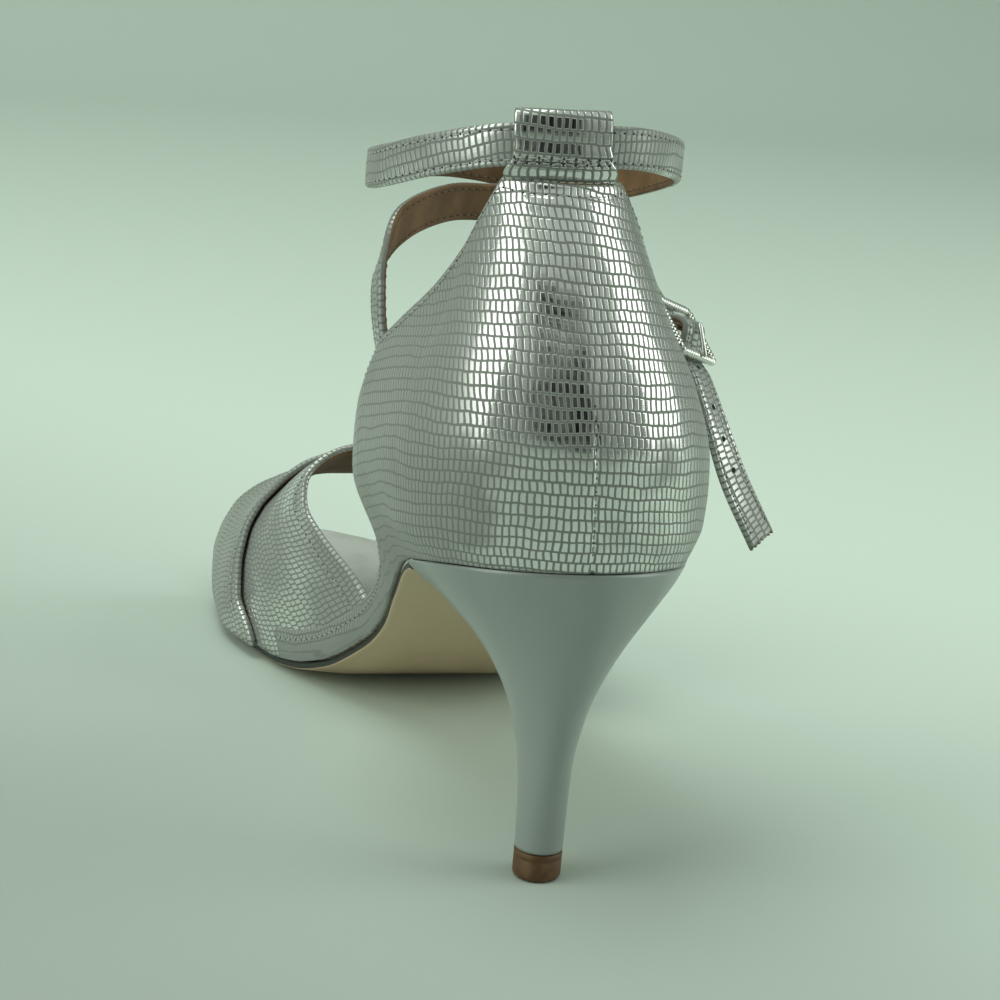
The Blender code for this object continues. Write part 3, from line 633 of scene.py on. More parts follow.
def lined_strap(name, path, width, thick, silver, lining, replaced, ragged=0.0):
    """Strap: its profile carried along the path, with a torn free end where asked."""
    run, edge, inward = band_frames(path)
    profile, count = strap_profile(width, thick)
    a, b = profile[:, 0], profile[:, 1]
    sections = path[:, None, :3] + edge[:, None] * a[None, :, None] + inward[:, None] * b[None, :, None]
    if ragged:
        jag = ragged * (np.sin(a * 5200.0) + 0.6 * np.sin(a * 11000.0 + 1.0))
        sections[-1] += run[-1] * jag[:, None]
    points, faces = closed_sections(sections)
    around = len(profile)
    lined = np.zeros(around, dtype=int)
    lined[count + 1 : 2 * count - 2] = 1
    slots = np.tile(lined, len(path) - 1).tolist()
    faces += flat_ends(len(path), around)
    slots += [1] * (len(faces) - len(slots))
    along = lengths_along(path[:, :3], 0)
    uvs = np.stack(np.broadcast_arrays(along[:, None], a[None, :]), axis=-1).reshape(-1, 2)
    thing = make_piece(name, points, faces, [silver, lining], slots, uvs, replaced)
    return facing_out(thing)


def punch_holes(strap, path_rows, places):
    """Round holes through the strap, cut by rods along its inward direction."""
    samples = np.array([p + step for p in places for step in (-0.02, 0.0, 0.02)])
    path = catmull(path_rows, samples)
    rods = []
    for k in range(len(places)):
        run, edge, inward = band_frames(path[3 * k : 3 * k + 3])
        centre, ahead, beside, through = path[3 * k + 1, :3], run[1], edge[1], inward[1]
        turns = np.linspace(0.0, 2.0 * np.pi, 16, endpoint=False)
        ring = HOLE_RADIUS * (np.cos(turns)[:, None] * ahead + np.sin(turns)[:, None] * beside)
        rods.append(np.stack([centre + ring - through * 2.0 * MM, centre + ring + through * 2.0 * MM]))
    shape = bmesh.new()
    for rod in rods:
        low, high = ([shape.verts.new(Vector(p) + Vector((0.0, -TIP_Y, 0.0))) for p in ring] for ring in rod)
        for j in range(len(low)):
            k = (j + 1) % len(low)
            shape.faces.new((low[j], low[k], high[k], high[j]))
        shape.faces.new(low)
        shape.faces.new(high)
    bmesh.ops.recalc_face_normals(shape, faces=shape.faces)
    mesh = bpy.data.meshes.new("hole_rods")
    shape.to_mesh(mesh)
    shape.free()
    rods_object = bpy.data.objects.new("hole_rods", mesh)
    bpy.context.scene.collection.objects.link(rods_object)
    cut = strap.modifiers.new("holes", "BOOLEAN")
    cut.operation = "DIFFERENCE"
    cut.solver = "EXACT"
    cut.object = rods_object
    bpy.context.view_layer.update()
    graph = bpy.context.evaluated_depsgraph_get()
    mesh = bpy.data.meshes.new_from_object(strap.evaluated_get(graph))
    strap.modifiers.clear()
    old, strap.data = strap.data, mesh
    bpy.data.meshes.remove(old)
    bpy.data.objects.remove(rods_object)


def loop_path(count):
    """Points of the strap's middle line inside the loop, evenly spaced, with their edge directions."""
    samples = np.linspace(LOOP_POINT - LOOP_REACH, LOOP_POINT + LOOP_REACH, 200)
    path = catmull(route(STRAP_ROUTE), samples)
    lengths = lengths_along(path[:, :3], 0)
    centre = np.interp(LOOP_POINT, samples, lengths)
    wanted = np.linspace(centre - 0.5 * LOOP_WIDTH, centre + 0.5 * LOOP_WIDTH, count)
    return np.stack([np.interp(wanted, lengths, path[:, k]) for k in range(6)], axis=1)


def build_loop(silver, lining):
    """Folded loop: a squared oval round the strap, pinched and pleated where it is sewn down below."""
    stations, around = LOOP_STEPS
    path = loop_path(stations)
    run, edge, inward = band_frames(path)
    c, s = circle(around)
    tall_in = 0.5 * LOOP_TALL - LOOP_WALL
    deep_in = 0.5 * STRAP_THICK + FIT
    up, out = squared(c, LOOP_BEND), squared(s, LOOP_BEND)
    a, b = 0.5 * LOOP_TALL * up, (deep_in + LOOP_WALL) * out
    level = a + 0.5 * LOOP_TALL
    pinch = 1.0 - 0.30 * np.clip((4.4 * MM - level) / (4.4 * MM), 0.0, 1.0)
    relief = 0.55 * MM * hump(level, 5.3 * MM, 0.7 * MM)
    relief -= 0.50 * MM * hump(level, 4.1 * MM, 0.45 * MM)
    relief += 0.45 * MM * hump(level, 3.1 * MM, 0.45 * MM)
    b = b * pinch + np.where(b < 0.0, -relief, relief)
    flare = 1.0 + 0.27 * np.clip(1.0 - (level - 2.0 * MM) / (4.6 * MM), 0.0, 1.0) ** 1.5
    along = lengths_along(path[:, :3], 0) - 0.5 * LOOP_WIDTH
    stretch = along[:, None] * (flare - 1.0)
    outer = path[:, None, :3] + edge[:, None] * a[None, :, None] + inward[:, None] * b[None, :, None]
    outer = outer + run[:, None] * stretch[..., None]
    hollow = path[:, None, :3] + edge[:, None] * (tall_in * up)[None, :, None]
    hollow = hollow + inward[:, None] * (deep_in * out * 0.97)[None, :, None]
    points, faces = closed_sections(outer)
    inside, inner_faces = closed_sections(hollow)
    slots = [0] * len(faces) + [1] * len(inner_faces)
    total = len(points)
    faces += [[k + total for k in f] for f in inner_faces]
    for start in (0, (stations - 1) * around):
        for j in range(around):
            k = (j + 1) % around
            faces.append([start + j, start + k, total + start + k, total + start + j])
    slots += [0] * (2 * around)
    girth = np.where(b < 0.0, 2.0 * LOOP_TALL - level, level)
    uvs = np.stack(np.broadcast_arrays(along[:, None], girth[None, :]), axis=-1).reshape(-1, 2)
    uvs = np.concatenate([uvs, uvs])
    both = np.concatenate([points, inside])
    thing = make_piece("back_loop_leather", both, faces, [silver, lining], slots, uvs,
                       ["back_loop"])
    return facing_out(thing)


# stitches
def stitch_row(path, facing, step=STITCH_STEP, long=STITCH_LONG, thick=STITCH_THICK, rise=0.00010):
    """Thread stitches and needle holes along a line: short bowed rods, and dark discs of painted shade for
    the holes, as points and faces.
    """
    lengths = lengths_along(path, 0)
    count = max(1, int(lengths[-1] / step))
    places = (np.arange(count) + 0.5) * lengths[-1] / count
    rings, around = 5, 6
    share = np.linspace(-1.0, 1.0, rings)
    at = places[:, None] + 0.5 * long * share

    def follow(values, where):
        return np.stack([np.interp(where, lengths, values[:, k]) for k in range(3)], axis=-1)

    ahead_all = unit(np.gradient(path, axis=0))
    centre, up, ahead = follow(path, at), follow(facing, at), follow(ahead_all, at)
    beside = np.cross(ahead, up)
    radius = 0.5 * thick * np.sqrt(np.clip(1.0 - (0.92 * share) ** 2, 0.0, 1.0))
    lift = rise * (1.0 - 1.6 * share**2)
    turns = np.linspace(0.0, 2.0 * np.pi, around, endpoint=False)
    circle = np.cos(turns)[:, None] * beside[:, :, None] + np.sin(turns)[:, None] * up[:, :, None]
    rods = (centre + up * lift[None, :, None])[:, :, None] + circle * radius[None, :, None, None]
    quads = []
    base = np.arange(count) * rings * around
    for i in range(rings - 1):
        for j in range(around):
            k = (j + 1) % around
            quads.append(np.stack([base + i * around + j, base + i * around + k,
                                   base + (i + 1) * around + k, base + (i + 1) * around + j], axis=1))
    faces = np.concatenate(quads).tolist()
    for start in base:
        faces.append([start + j for j in range(around)][::-1])
        faces.append([start + (rings - 1) * around + j for j in range(around)])
    thread = len(faces)
    points = rods.reshape(-1, 3)
    between = np.concatenate([[places[0] - 0.5 * lengths[-1] / count], places + 0.5 * lengths[-1] / count])
    between = np.clip(between, 0.0, lengths[-1])
    spot, top = follow(path, between), follow(facing, between)
    ahead = follow(ahead_all, between)
    beside = np.cross(ahead, top)
    # dark discs of painted shade where the needle holes are
    disc = 0.26 * MM * (np.cos(turns)[:, None] * beside[:, None] + np.sin(turns)[:, None] * ahead[:, None])
    low = spot[:, None] + disc - top[:, None] * 0.10 * MM
    high = spot[:, None] + disc * 0.9 + top[:, None] * 0.035 * MM
    start = len(points)
    points = np.concatenate([points, np.stack([low, high], axis=1).reshape(-1, 3)])
    for n in range(len(between)):
        a = start + n * 2 * around
        faces.append([a + j for j in range(around)])
        faces.append([a + around + j for j in range(around)][::-1])
        for j in range(around):
            k = (j + 1) % around
            faces.append([a + j, a + around + j, a + around + k, a + k])
    return points, faces, [0] * thread + [1] * (len(faces) - thread)


def sew(name, rows, materials):
    """One piece of stitching from several stitch rows."""
    points, faces, slots = [], [], []
    total = 0
    for row_points, row_faces, row_slots in rows:
        points.append(row_points)
        faces += [[k + total for k in f] for f in row_faces]
        slots += row_slots
        total += len(row_points)
    thing = make_piece(name, np.concatenate(points), faces, materials, slots)
    return facing_out(thing)


def strap_stitches(path, width, thick, inside=False):
    """Stitch rows near both edges of a strap, on one face."""
    run, edge, inward = band_frames(path)
    side = 1.0 if inside else -1.0
    level = 0.5 * thick + (0.0 if inside else -0.05 * MM)
    rows = []
    for way in (-1.0, 1.0):
        line = path[:, :3] + edge * way * (0.5 * width - STITCH_INSET) + inward * side * level
        rows.append(stitch_row(line, inward * side))
    return rows


def column_at(uvs, distance):
    """For each row, the fractional column at a distance below the top edge."""
    up = uvs[..., 1]
    wanted = up[:, -1] - distance
    spots = [np.interp(wanted[i], up[i], np.arange(up.shape[1])) for i in range(len(up))]
    return np.array(spots)


def line_on(grid, spots):
    """Points and normals of a grid at fractional columns."""
    facing = outward_normals(grid)
    low = np.clip(np.floor(spots).astype(int), 0, grid.shape[1] - 2)
    part = (spots - low)[:, None]
    index = np.arange(len(grid))
    points = grid[index, low] * (1.0 - part) + grid[index, low + 1] * part
    up = facing[index, low] * (1.0 - part) + facing[index, low + 1] * part
    return points, unit(up)


def loop_stitches():
    """Two stitch rows across the loop's outer face, at its pleats."""
    path = loop_path(61)
    run, edge, inward = band_frames(path)
    rows = []
    for level, out in LOOP_SEAMS:
        line = path[:, :3] + edge * (level - 0.5 * LOOP_TALL)
        line = line - inward * (0.5 * STRAP_THICK + FIT + LOOP_WALL + out)
        rows.append(stitch_row(line, -inward))
    return rows


# sole, heel and metal
def sole_plate(name, start, end, inset, top, bottom, square_start, edge, materials, replaced):
    """Sole piece: sections across the foot between a top and a bottom face, with rounded edges."""
    stations, across = SOLE_STEPS
    steps = np.linspace(0.0, 1.0, stations)
    if square_start:
        ys = start + (end - start) * np.sin(0.5 * math.pi * steps)
    else:
        ys = start + (end - start) * 0.5 * (1.0 - np.cos(math.pi * steps))
    left, right = plan(ys, -1.0, inset), plan(ys, 1.0, inset)
    share = 0.5 * (1.0 - np.cos(np.linspace(0.0, np.pi, across)))
    x = left[:, None] + (right - left)[:, None] * share
    y = np.repeat(ys[:, None], across, axis=1)
    high = np.stack([x, y, top(ys[:, None], share, x, left[:, None], right[:, None])], axis=-1)
    low = np.stack([x, y, bottom(ys[:, None], share, x, left[:, None], right[:, None])], axis=-1)
    for face, way in ((high, -1.0), (low, 1.0)):
        from_edge = np.minimum(x - left[:, None], right[:, None] - x)
        rounding = np.clip(1.0 - from_edge / edge, 0.0, 1.0)
        face[..., 2] += way * edge * (1.0 - np.sqrt(np.clip(1.0 - rounding**2, 0.0, 1.0))) * 0.8
    sections = np.concatenate([high, low[:, ::-1]], axis=1)
    points, faces = closed_sections(sections)
    around = 2 * across
    beside = np.zeros(around, dtype=int)
    beside[[0, 1, across - 3, across - 2, across - 1, across, around - 2, around - 1]] = len(materials) - 1
    slots = np.tile(beside, stations - 1).tolist()
    faces += flat_ends(stations, around)
    slots += [len(materials) - 1] * (len(faces) - len(slots))
    uvs = points[:, :2]
    thing = make_piece(name, points, faces, materials, slots, uvs, replaced)
    return facing_out(thing)


def build_outsole(materials):
    """Leather sole from the heel breast to the toe, thinner at its edge, with a channel line underneath."""
    def top(y, share, x, left, right):
        return feather(y) - FIT + 0.0 * share

    def bottom(y, share, x, left, right):
        from_edge = np.minimum(share, 1.0 - share) * 6.0
        thick = SOLE_EDGE_SHARE + (1.0 - SOLE_EDGE_SHARE) * np.clip(from_edge, 0.0, 1.0)
        reach = np.minimum(x - left, right - x)
        channel = 0.16 * MM * hump(reach, 2.6 * MM, 0.35 * MM)
        return feather(y) - FIT - OUTSOLE_THICK * thick + channel

    start = BREAST_Y + 2.0 * FIT
    end = LENGTH - OUTSOLE_INSET - FIT
    return sole_plate("outsole_leather", start, end, OUTSOLE_INSET, top, bottom, True, 0.7 * MM, materials,
                      ["outsole"])


def build_insole(material):
    """Padded insole inside the walls, with a groove round its edge."""
    inset = UPPER_WALL + 4.0 * FIT

    def top(y, share, x, left, right):
        crown = 1.0 - (2.0 * share - 1.0) ** 2
        reach = np.minimum(x - left, right - x)
        groove = 0.14 * MM * hump(reach, 2.4 * MM, 0.3 * MM)
        return feather(y) + INSOLE_THICK - INSOLE_CROWN * (1.0 - crown) - groove

    def bottom(y, share, x, left, right):
        return feather(y) + 0.0 * share

    end = LENGTH - inset - FIT
    return sole_plate("insole_sock", inset + FIT, end, inset, top, bottom, False, 0.6 * MM, [material],
                      ["insole"])


def build_heel(material):
    """Covered heel: seat outline shrunk and rounded level by level down to the stem."""
    levels, around_back, around_breast = HEEL_STEPS
    turn = np.linspace(-1.0, 1.0, around_back)
    back_y = BREAST_Y * turn**2
    back = np.stack([plan(back_y, np.where(turn < 0.0, -1.0, 1.0)), back_y], axis=1)
    share = np.linspace(0.0, 1.0, around_breast + 2)[1:-1]
    right, left = float(plan(BREAST_Y, 1.0)), float(plan(BREAST_Y, -1.0))
    breast = np.stack([right + (left - right) * share, np.full_like(share, BREAST_Y)], axis=1)
    seat = np.concatenate([back, breast])
    angles = np.arctan2(seat[:, 0], 0.5 * BREAST_Y - seat[:, 1])
    level = np.linspace(0.0, 1.0, levels)[:, None]
    rear, front, width, slant, square = (smooth(HEEL_SECTIONS, level, k) for k in range(1, 6))
    low = TIP_HEIGHT + FIT
    flat_x = seat[:, 0] * width / HEEL_SECTIONS[-1][3]
    flat_y = BREAST_Y * rear + (front - rear) * seat[:, 1]
    round_x = BREAST_Y * width * np.sin(angles)
    round_y = 0.5 * BREAST_Y * (rear + front) - 0.5 * BREAST_Y * (front - rear) * np.cos(angles)
    x = flat_x * square + round_x * (1.0 - square)
    y = flat_y * square + round_y * (1.0 - square)
    z = low + (HEEL_TOP_REF - low) * level + (feather(seat[:, 1]) - FIT - HEEL_TOP_REF) * slant
    sections = np.stack([x, y, z], axis=-1)
    points, faces = closed_sections(sections)
    faces += ring_ends(levels, len(seat))
    uvs = np.stack([points[:, 0], points[:, 2]], axis=1)
    thing = make_piece("heel_covered", points, faces, [material], None, uvs, ["heel"])
    return facing_out(thing)


def build_heel_tip(material):
    """Top piece: a turned disc with a rounded foot and a fine parting groove near its top."""
    turns = np.linspace(0.0, 2.0 * np.pi, 72, endpoint=False)
    profile = np.array((
        (TIP_HEIGHT, TIP_RADIUS - 0.25 * MM), (TIP_HEIGHT - 0.2 * MM, TIP_RADIUS),
        (TIP_HEIGHT - 1.3 * MM, TIP_RADIUS), (TIP_HEIGHT - 1.45 * MM, TIP_RADIUS - 0.12 * MM),
        (TIP_HEIGHT - 1.6 * MM, TIP_RADIUS), (TIP_ROUND, TIP_RADIUS),
        (0.55 * TIP_ROUND, TIP_RADIUS - 0.12 * TIP_ROUND), (0.25 * TIP_ROUND, TIP_RADIUS - 0.36 * TIP_ROUND),
        (0.06 * TIP_ROUND, TIP_RADIUS - 0.68 * TIP_ROUND), (0.0, TIP_RADIUS - TIP_ROUND),
    ))
    z, r = profile[:, :1], profile[:, 1:]
    sections = np.stack(np.broadcast_arrays(r * np.sin(turns), TIP_Y - r * np.cos(turns), z), axis=-1)
    points, faces = closed_sections(sections)
    faces += ring_ends(len(profile), len(turns))
    uvs = points[:, [0, 2]]
    thing = make_piece("heel_top_piece", points, faces, [material], None, uvs, ["heel_tip"])
    return facing_out(thing)


def buckle_place():
    """Middle, run, edge and inward directions of the strap under the buckle."""
    path = catmull(route(STRAP_ROUTE), np.array([BUCKLE_POINT - 0.05, BUCKLE_POINT, BUCKLE_POINT + 0.05]))
    run, edge, inward = band_frames(path)
    return path[1, :3], run[1], edge[1], inward[1]


def build_frame(material):
    """Buckle frame: a flat oval bar along a rounded rectangle, cut across with fine rope ridges."""
    centre, run, edge, inward = buckle_place()
    middle = centre - inward * FRAME_LIFT
    half_l, half_w, corner = 0.5 * (BUCKLE_LONG - BUCKLE_BAR), 0.5 * (BUCKLE_WIDE - BUCKLE_BAR), 1.1 * MM
    line = []
    for sign_l, sign_w, start in ((1, 1, 0.0), (-1, 1, 0.5), (-1, -1, 1.0), (1, -1, 1.5)):
        for angle in np.pi * (start + np.linspace(0.0, 0.5, 9)):
            line.append((sign_l * (half_l - corner) + corner * math.cos(angle),
                         sign_w * (half_w - corner) + corner * math.sin(angle)))
    line = np.array(line + line[:1])
    lengths = lengths_along(line, 0)
    wanted = np.linspace(0.0, lengths[-1], FRAME_STEPS, endpoint=False)
    flat = np.stack([np.interp(wanted, lengths, line[:, k]) for k in range(2)], axis=1)
    ahead = unit(np.roll(flat, -1, axis=0) - np.roll(flat, 1, axis=0))
    outward = np.stack([ahead[:, 1], -ahead[:, 0]], axis=1)
    c, s = circle(20)
    ridge = 1.0 + 0.10 * np.cos(2.0 * np.pi * wanted / (0.95 * MM))[:, None] * (s < 0.1)
    wide = 0.5 * BUCKLE_BAR * squared(c, 0.7) * ridge
    tall = 0.42 * BUCKLE_BAR * squared(s, 0.8) * ridge
    along = flat[:, :1] + outward[:, :1] * wide
    across = flat[:, 1:] + outward[:, 1:] * wide
    sections = middle + run * along[..., None] + edge * across[..., None] + inward * tall[..., None]
    points = sections.reshape(-1, 3)
    rows, around = sections.shape[:2]
    i, j = np.meshgrid(np.arange(rows), np.arange(around), indexing="ij")
    m, k = (i + 1) % rows, (j + 1) % around
    faces = np.stack([i * around + j, i * around + k, m * around + k, m * around + j], axis=-1).reshape(-1, 4)
    thing = make_piece("buckle_frame_bright", points, faces, [material], None, points[:, :2],
                       ["buckle_frame"])
    return facing_out(thing)


# materials
def both_ways(operation):
    """Plain and reflected method of one arithmetic operator."""
    def plain(self, other):
        return self.math(operation, self, other)

    def reflected(self, other):
        return self.math(operation, other, self)

    return plain, reflected


class Value:
    """One socket of a node tree, with arithmetic written as plain operators."""

    def __init__(self, tree, socket):
        self.tree = tree
        self.socket = socket

    def node(self, kind, settings, sockets, output=0):
        """New node of a type, with its settings set first and then its sockets set or linked."""
        made = self.tree.nodes.new(kind)
        for key, value in settings.items():
            setattr(made, key, value)
        for key, value in sockets.items():
            if isinstance(value, Value):
                self.tree.links.new(value.socket, made.inputs[key])
            else:
                made.inputs[key].default_value = value
        return Value(self.tree, made.outputs[output])

    def math(self, operation, *values):
        return self.node("ShaderNodeMath", {"operation": operation}, dict(enumerate(values)))

    __add__, __radd__ = both_ways("ADD")
    __sub__, __rsub__ = both_ways("SUBTRACT")
    __mul__, __rmul__ = both_ways("MULTIPLY")
    __truediv__, __rtruediv__ = both_ways("DIVIDE")

    def __abs__(self):
        return self.math("ABSOLUTE", self)

    def most(self, other):
        return self.math("MAXIMUM", self, other)

    def floor(self):
        return self.math("FLOOR", self)

    def fract(self):
        return self.math("FRACT", self)

    def step(self, low, high):
        """Smooth step from 0 at low to 1 at high."""
        sockets = {"Value": self, "From Min": low, "From Max": high}
        return self.node("ShaderNodeMapRange", {"interpolation_type": "SMOOTHSTEP"}, sockets)

    def split(self):
        return [self.node("ShaderNodeSeparateXYZ", {}, {"Vector": self}, k) for k in range(3)]

    def joined(self, second, third=0.0):
        return self.node("ShaderNodeCombineXYZ", {}, {"X": self, "Y": second, "Z": third})

    def noise(self, scale, detail=2.0):
        return self.node("ShaderNodeTexNoise", {}, {"Vector": self, "Scale": scale, "Detail": detail})

    def chance(self):
        """Random number of a cell's own vector."""
        return self.node("ShaderNodeTexWhiteNoise", {"noise_dimensions": "3D"}, {"Vector": self})

    def blend(self, first, second):
        """Colour between two others by this factor."""
        return self.node("ShaderNodeMix", {"data_type": "RGBA"}, {0: self, 6: first, 7: second}, 2)

    def bump(self, distance, strength=1.0):
        return self.node("ShaderNodeBump", {}, {"Height": self, "Distance": distance, "Strength": strength})


def new_material(name):
    """Empty node material, its shader node and its object coordinates."""
    made = bpy.data.materials.new(name)
    made.use_nodes = True
    tree = made.node_tree
    shader = tree.nodes["Principled BSDF"]
    place = Value(tree, tree.nodes.new("ShaderNodeTexCoord").outputs["Object"])
    return made, shader, place


def wire(shader, **inputs):
    """Sets or links the shader's sockets, named with underscores for spaces."""
    for key, value in inputs.items():
        socket = shader.inputs[key.replace("_", " ")]
        if isinstance(value, Value):
            value.tree.links.new(value.socket, socket)
        else:
            socket.default_value = value


# lizard print in centimetres: pitch across and down, width of a groove
TILE_WIDE = 0.135
TILE_TALL = 0.240
GROOVE = 0.085


def silver_print(name, fade_from, fade_to, painted_flank_shade=0.0):
    """Silver foil leather: rows of small scales over the UV map, the foil dulled as painted shade where a
    slow noise is high; fade_from and fade_to set how much, giving lit and shaded copies of one leather.

    With the flank setting at 1 the foil also fades far from the centre-back line and stays whole near it:
    painted shade on the flanks.
    """
    made, shader, place = new_material(name)
    uv = place.node("ShaderNodeUVMap", {"uv_map": "leather"}, {})
    x, y, _ = uv.split()
    from_back = abs(x)
    sway = y.joined(x, 3.0)
    x = x + (uv.noise(0.5, 1.0) - 0.5) * 0.22 + (uv.noise(3.1, 1.0) - 0.5) * 0.05
    y = y + (sway.noise(0.6, 1.0) - 0.5) * 0.26 + (sway.noise(2.6, 1.0) - 0.5) * 0.07 + x * 0.05
    down = y / TILE_TALL
    row = down.floor()
    shift = row.joined(7.3).chance()
    across = x / TILE_WIDE + shift
    column = across.floor()
    own = column.joined(row, 1.7).chance()
    other = column.joined(row, 5.1).chance()
    third = column.joined(row, 9.4).chance()
    in_x, in_y = across.fract() - 0.5, down.fract() - 0.5
    side = (0.5 - abs(in_x)) * (2.0 * TILE_WIDE / GROOVE)
    level = (0.5 - abs(in_y)) * (2.0 * TILE_TALL / GROOVE)
    tile = side.step(0.25, 0.75) * level.step(0.25, 0.80)
    dome = side.step(0.0, 3.2) + level.step(0.0, 5.0)
    tilt = in_x * (own - 0.5) * 1.5 + in_y * (other - 0.5) * 1.3
    grain = uv.noise(38.0, 3.0)
    height = tile * (0.62 + dome * 0.14 + tilt * 0.40) + grain * 0.06
    near_back = 1.0 - from_back.step(0.8, 1.6)
    # painted shade: foil dulled in slow noise patches and, with the flank setting, on the flanks away from
    # the centre-back line
    fade = place.noise(38.0, 2.0).step(fade_from, fade_to) * (1.0 - painted_flank_shade * near_back)
    fade = fade.most(from_back.step(1.7, 3.0) * painted_flank_shade)
    wear = place.noise(90.0, 3.0).step(0.52, 0.75)
    foil = tile * (0.90 + 0.10 * third) * (1.0 - wear * 0.25) * (1.0 - fade * 0.72)
    colour = foil.blend((0.225, 0.240, 0.212, 1.0), (0.86, 0.87, 0.84, 1.0))
    rough = 0.50 - foil * 0.42 + (own - 0.5) * 0.04 + wear * 0.05
    wire(shader, Base_Color=colour, Metallic=foil, Roughness=rough)
    wire(shader, Normal=height.bump(0.00012, 0.6))
    return made


def clouded(name, cloud, span, colours, rough, bump, **constants):
    """Plain material whose colour and roughness follow one noise.

    cloud is scale and detail, span the noise's range between the two colours or None, rough its start and
    rise, bump a noise of its own and a depth, or the depth alone, or None.
    """
    made, shader, place = new_material(name)
    noise = place.noise(*cloud)
    share = noise.step(*span) if span else noise
    first, second = ((*colour, 1.0) for colour in colours)
    start, rise = rough
    wire(shader, Base_Color=share.blend(first, second), Roughness=start + noise * rise if rise else start)
    wire(shader, **constants)
    if bump:
        *grain, depth = bump
        wire(shader, Normal=(place.noise(*grain) if grain else noise).bump(depth))
    return made


def heel_satin():
    """Smooth pearly cover of the heel with a few long soft scuffs."""
    made, shader, place = new_material("heel_satin")
    x, y, z = place.split()
    scuffs = (x * 40.0).joined(y * 40.0, z * 9.0).noise(1.5, 3.0).step(0.40, 0.75)
    colour = scuffs.blend((0.350, 0.388, 0.362, 1.0), (0.300, 0.336, 0.315, 1.0))
    fine = place.noise(1100.0, 2.0)
    wire(shader, Base_Color=colour, Metallic=0.2, Roughness=0.36 + scuffs * 0.08, Coat_Weight=0.12)
    wire(shader, Normal=fine.bump(0.00002))
    return made


def sole_leather():
    """Beige sole leather, darker in noise patches low down under the ball, and a faint grain."""
    made, shader, place = new_material("sole_beige")
    x, y, z = place.split()
    cloud = place.noise(55.0, 5.0)
    # darker in noise patches the nearer the floor
    low_dark_patches = (0.020 - z).step(0.0, 0.019) * cloud.step(0.35, 0.7)
    colour = (low_dark_patches * 0.55).blend((0.60, 0.455, 0.295, 1.0), (0.37, 0.265, 0.170, 1.0))
    colour = (place.noise(420.0, 3.0).step(0.45, 0.7) * 0.12).blend(colour, (0.66, 0.53, 0.37, 1.0))
    scratch = (x * 14.0).joined(y * 240.0, z * 40.0).noise(2.0, 4.0)
    wire(shader, Base_Color=colour, Roughness=0.50 + cloud * 0.12, Coat_Weight=0.05)
    wire(shader, Normal=(scratch * 0.6 + place.noise(1500.0, 2.0) * 0.4).bump(0.00004))
    return made


def backdrop_painted_shade():
    """Pale backdrop paper with painted shade: greyer towards the camera as a painted shadow, and greyer up
    the wall as painted shade.
    """
    made, shader, place = new_material("backdrop_painted_shade")
    x, y, z = place.split()
    # painted shadow: darker towards the camera and to the left
    near = 1.0 - (y + x * 1.1).step(-0.26, 0.42)
    colour = near.blend((0.76, 0.875, 0.785, 1.0), (0.40, 0.455, 0.41, 1.0))
    # painted shade: greyer up the wall
    colour = z.step(0.02, 0.45).blend(colour, (0.58, 0.66, 0.585, 1.0))
    wire(shader, Base_Color=colour, Roughness=0.9)
    return made


def rod_between(name, start, end, radius, material, replaced, taper=1.0):
    """Round rod between two points, with domed ends."""
    start, end = np.asarray(start), np.asarray(end)
    ahead = end - start
    long = np.linalg.norm(ahead)
    ahead = ahead / long
    beside = np.cross(ahead, (0.3, 0.5, 0.8))
    beside /= np.linalg.norm(beside)
    over = np.cross(ahead, beside)
    turns = np.linspace(0.0, 2.0 * np.pi, 20, endpoint=False)
    circle = np.cos(turns)[:, None] * beside + np.sin(turns)[:, None] * over
    dome = np.linspace(0.0, 0.5 * np.pi, 5)
    places = np.concatenate([radius * (1.0 - np.sin(dome[::-1])), long - radius * (1.0 - np.sin(dome))])
    places = np.sort(places)
    radii = radius * np.concatenate([np.cos(dome[::-1]), np.cos(dome)])
    radii = np.maximum(radii, 0.02 * radius) * np.linspace(1.0, taper, len(radii))
    sections = start + ahead * places[:, None, None] + circle[None] * radii[:, None, None]
    points, faces = closed_sections(sections)
    faces += ring_ends(len(places), len(turns))
    thing = make_piece(name, points, faces, [material], None, points[:, :2], replaced)
    return facing_out(thing)


def build_bar_and_prong(material):
    """Centre bar across the frame and the prong that rests on its lower bar."""
    centre, run, edge, inward = buckle_place()
    middle = centre - inward * FRAME_LIFT
    reach = 0.5 * BUCKLE_WIDE - 0.5 * BUCKLE_BAR
    start, end = middle - edge * reach, middle + edge * reach
    rod_between("buckle_bar_bright", start, end, 0.7 * MM, material, ["buckle_bar"])
    over = middle - inward * (BAR_RISE + 0.5 * MM)
    tip = middle + run * (0.5 * BUCKLE_LONG + 0.2 * MM) - inward * 1.3 * MM
    rod_between("buckle_prong_bright", over + run * 0.4 * MM, tip, 0.6 * MM, material, ["buckle_prong"], 0.75)


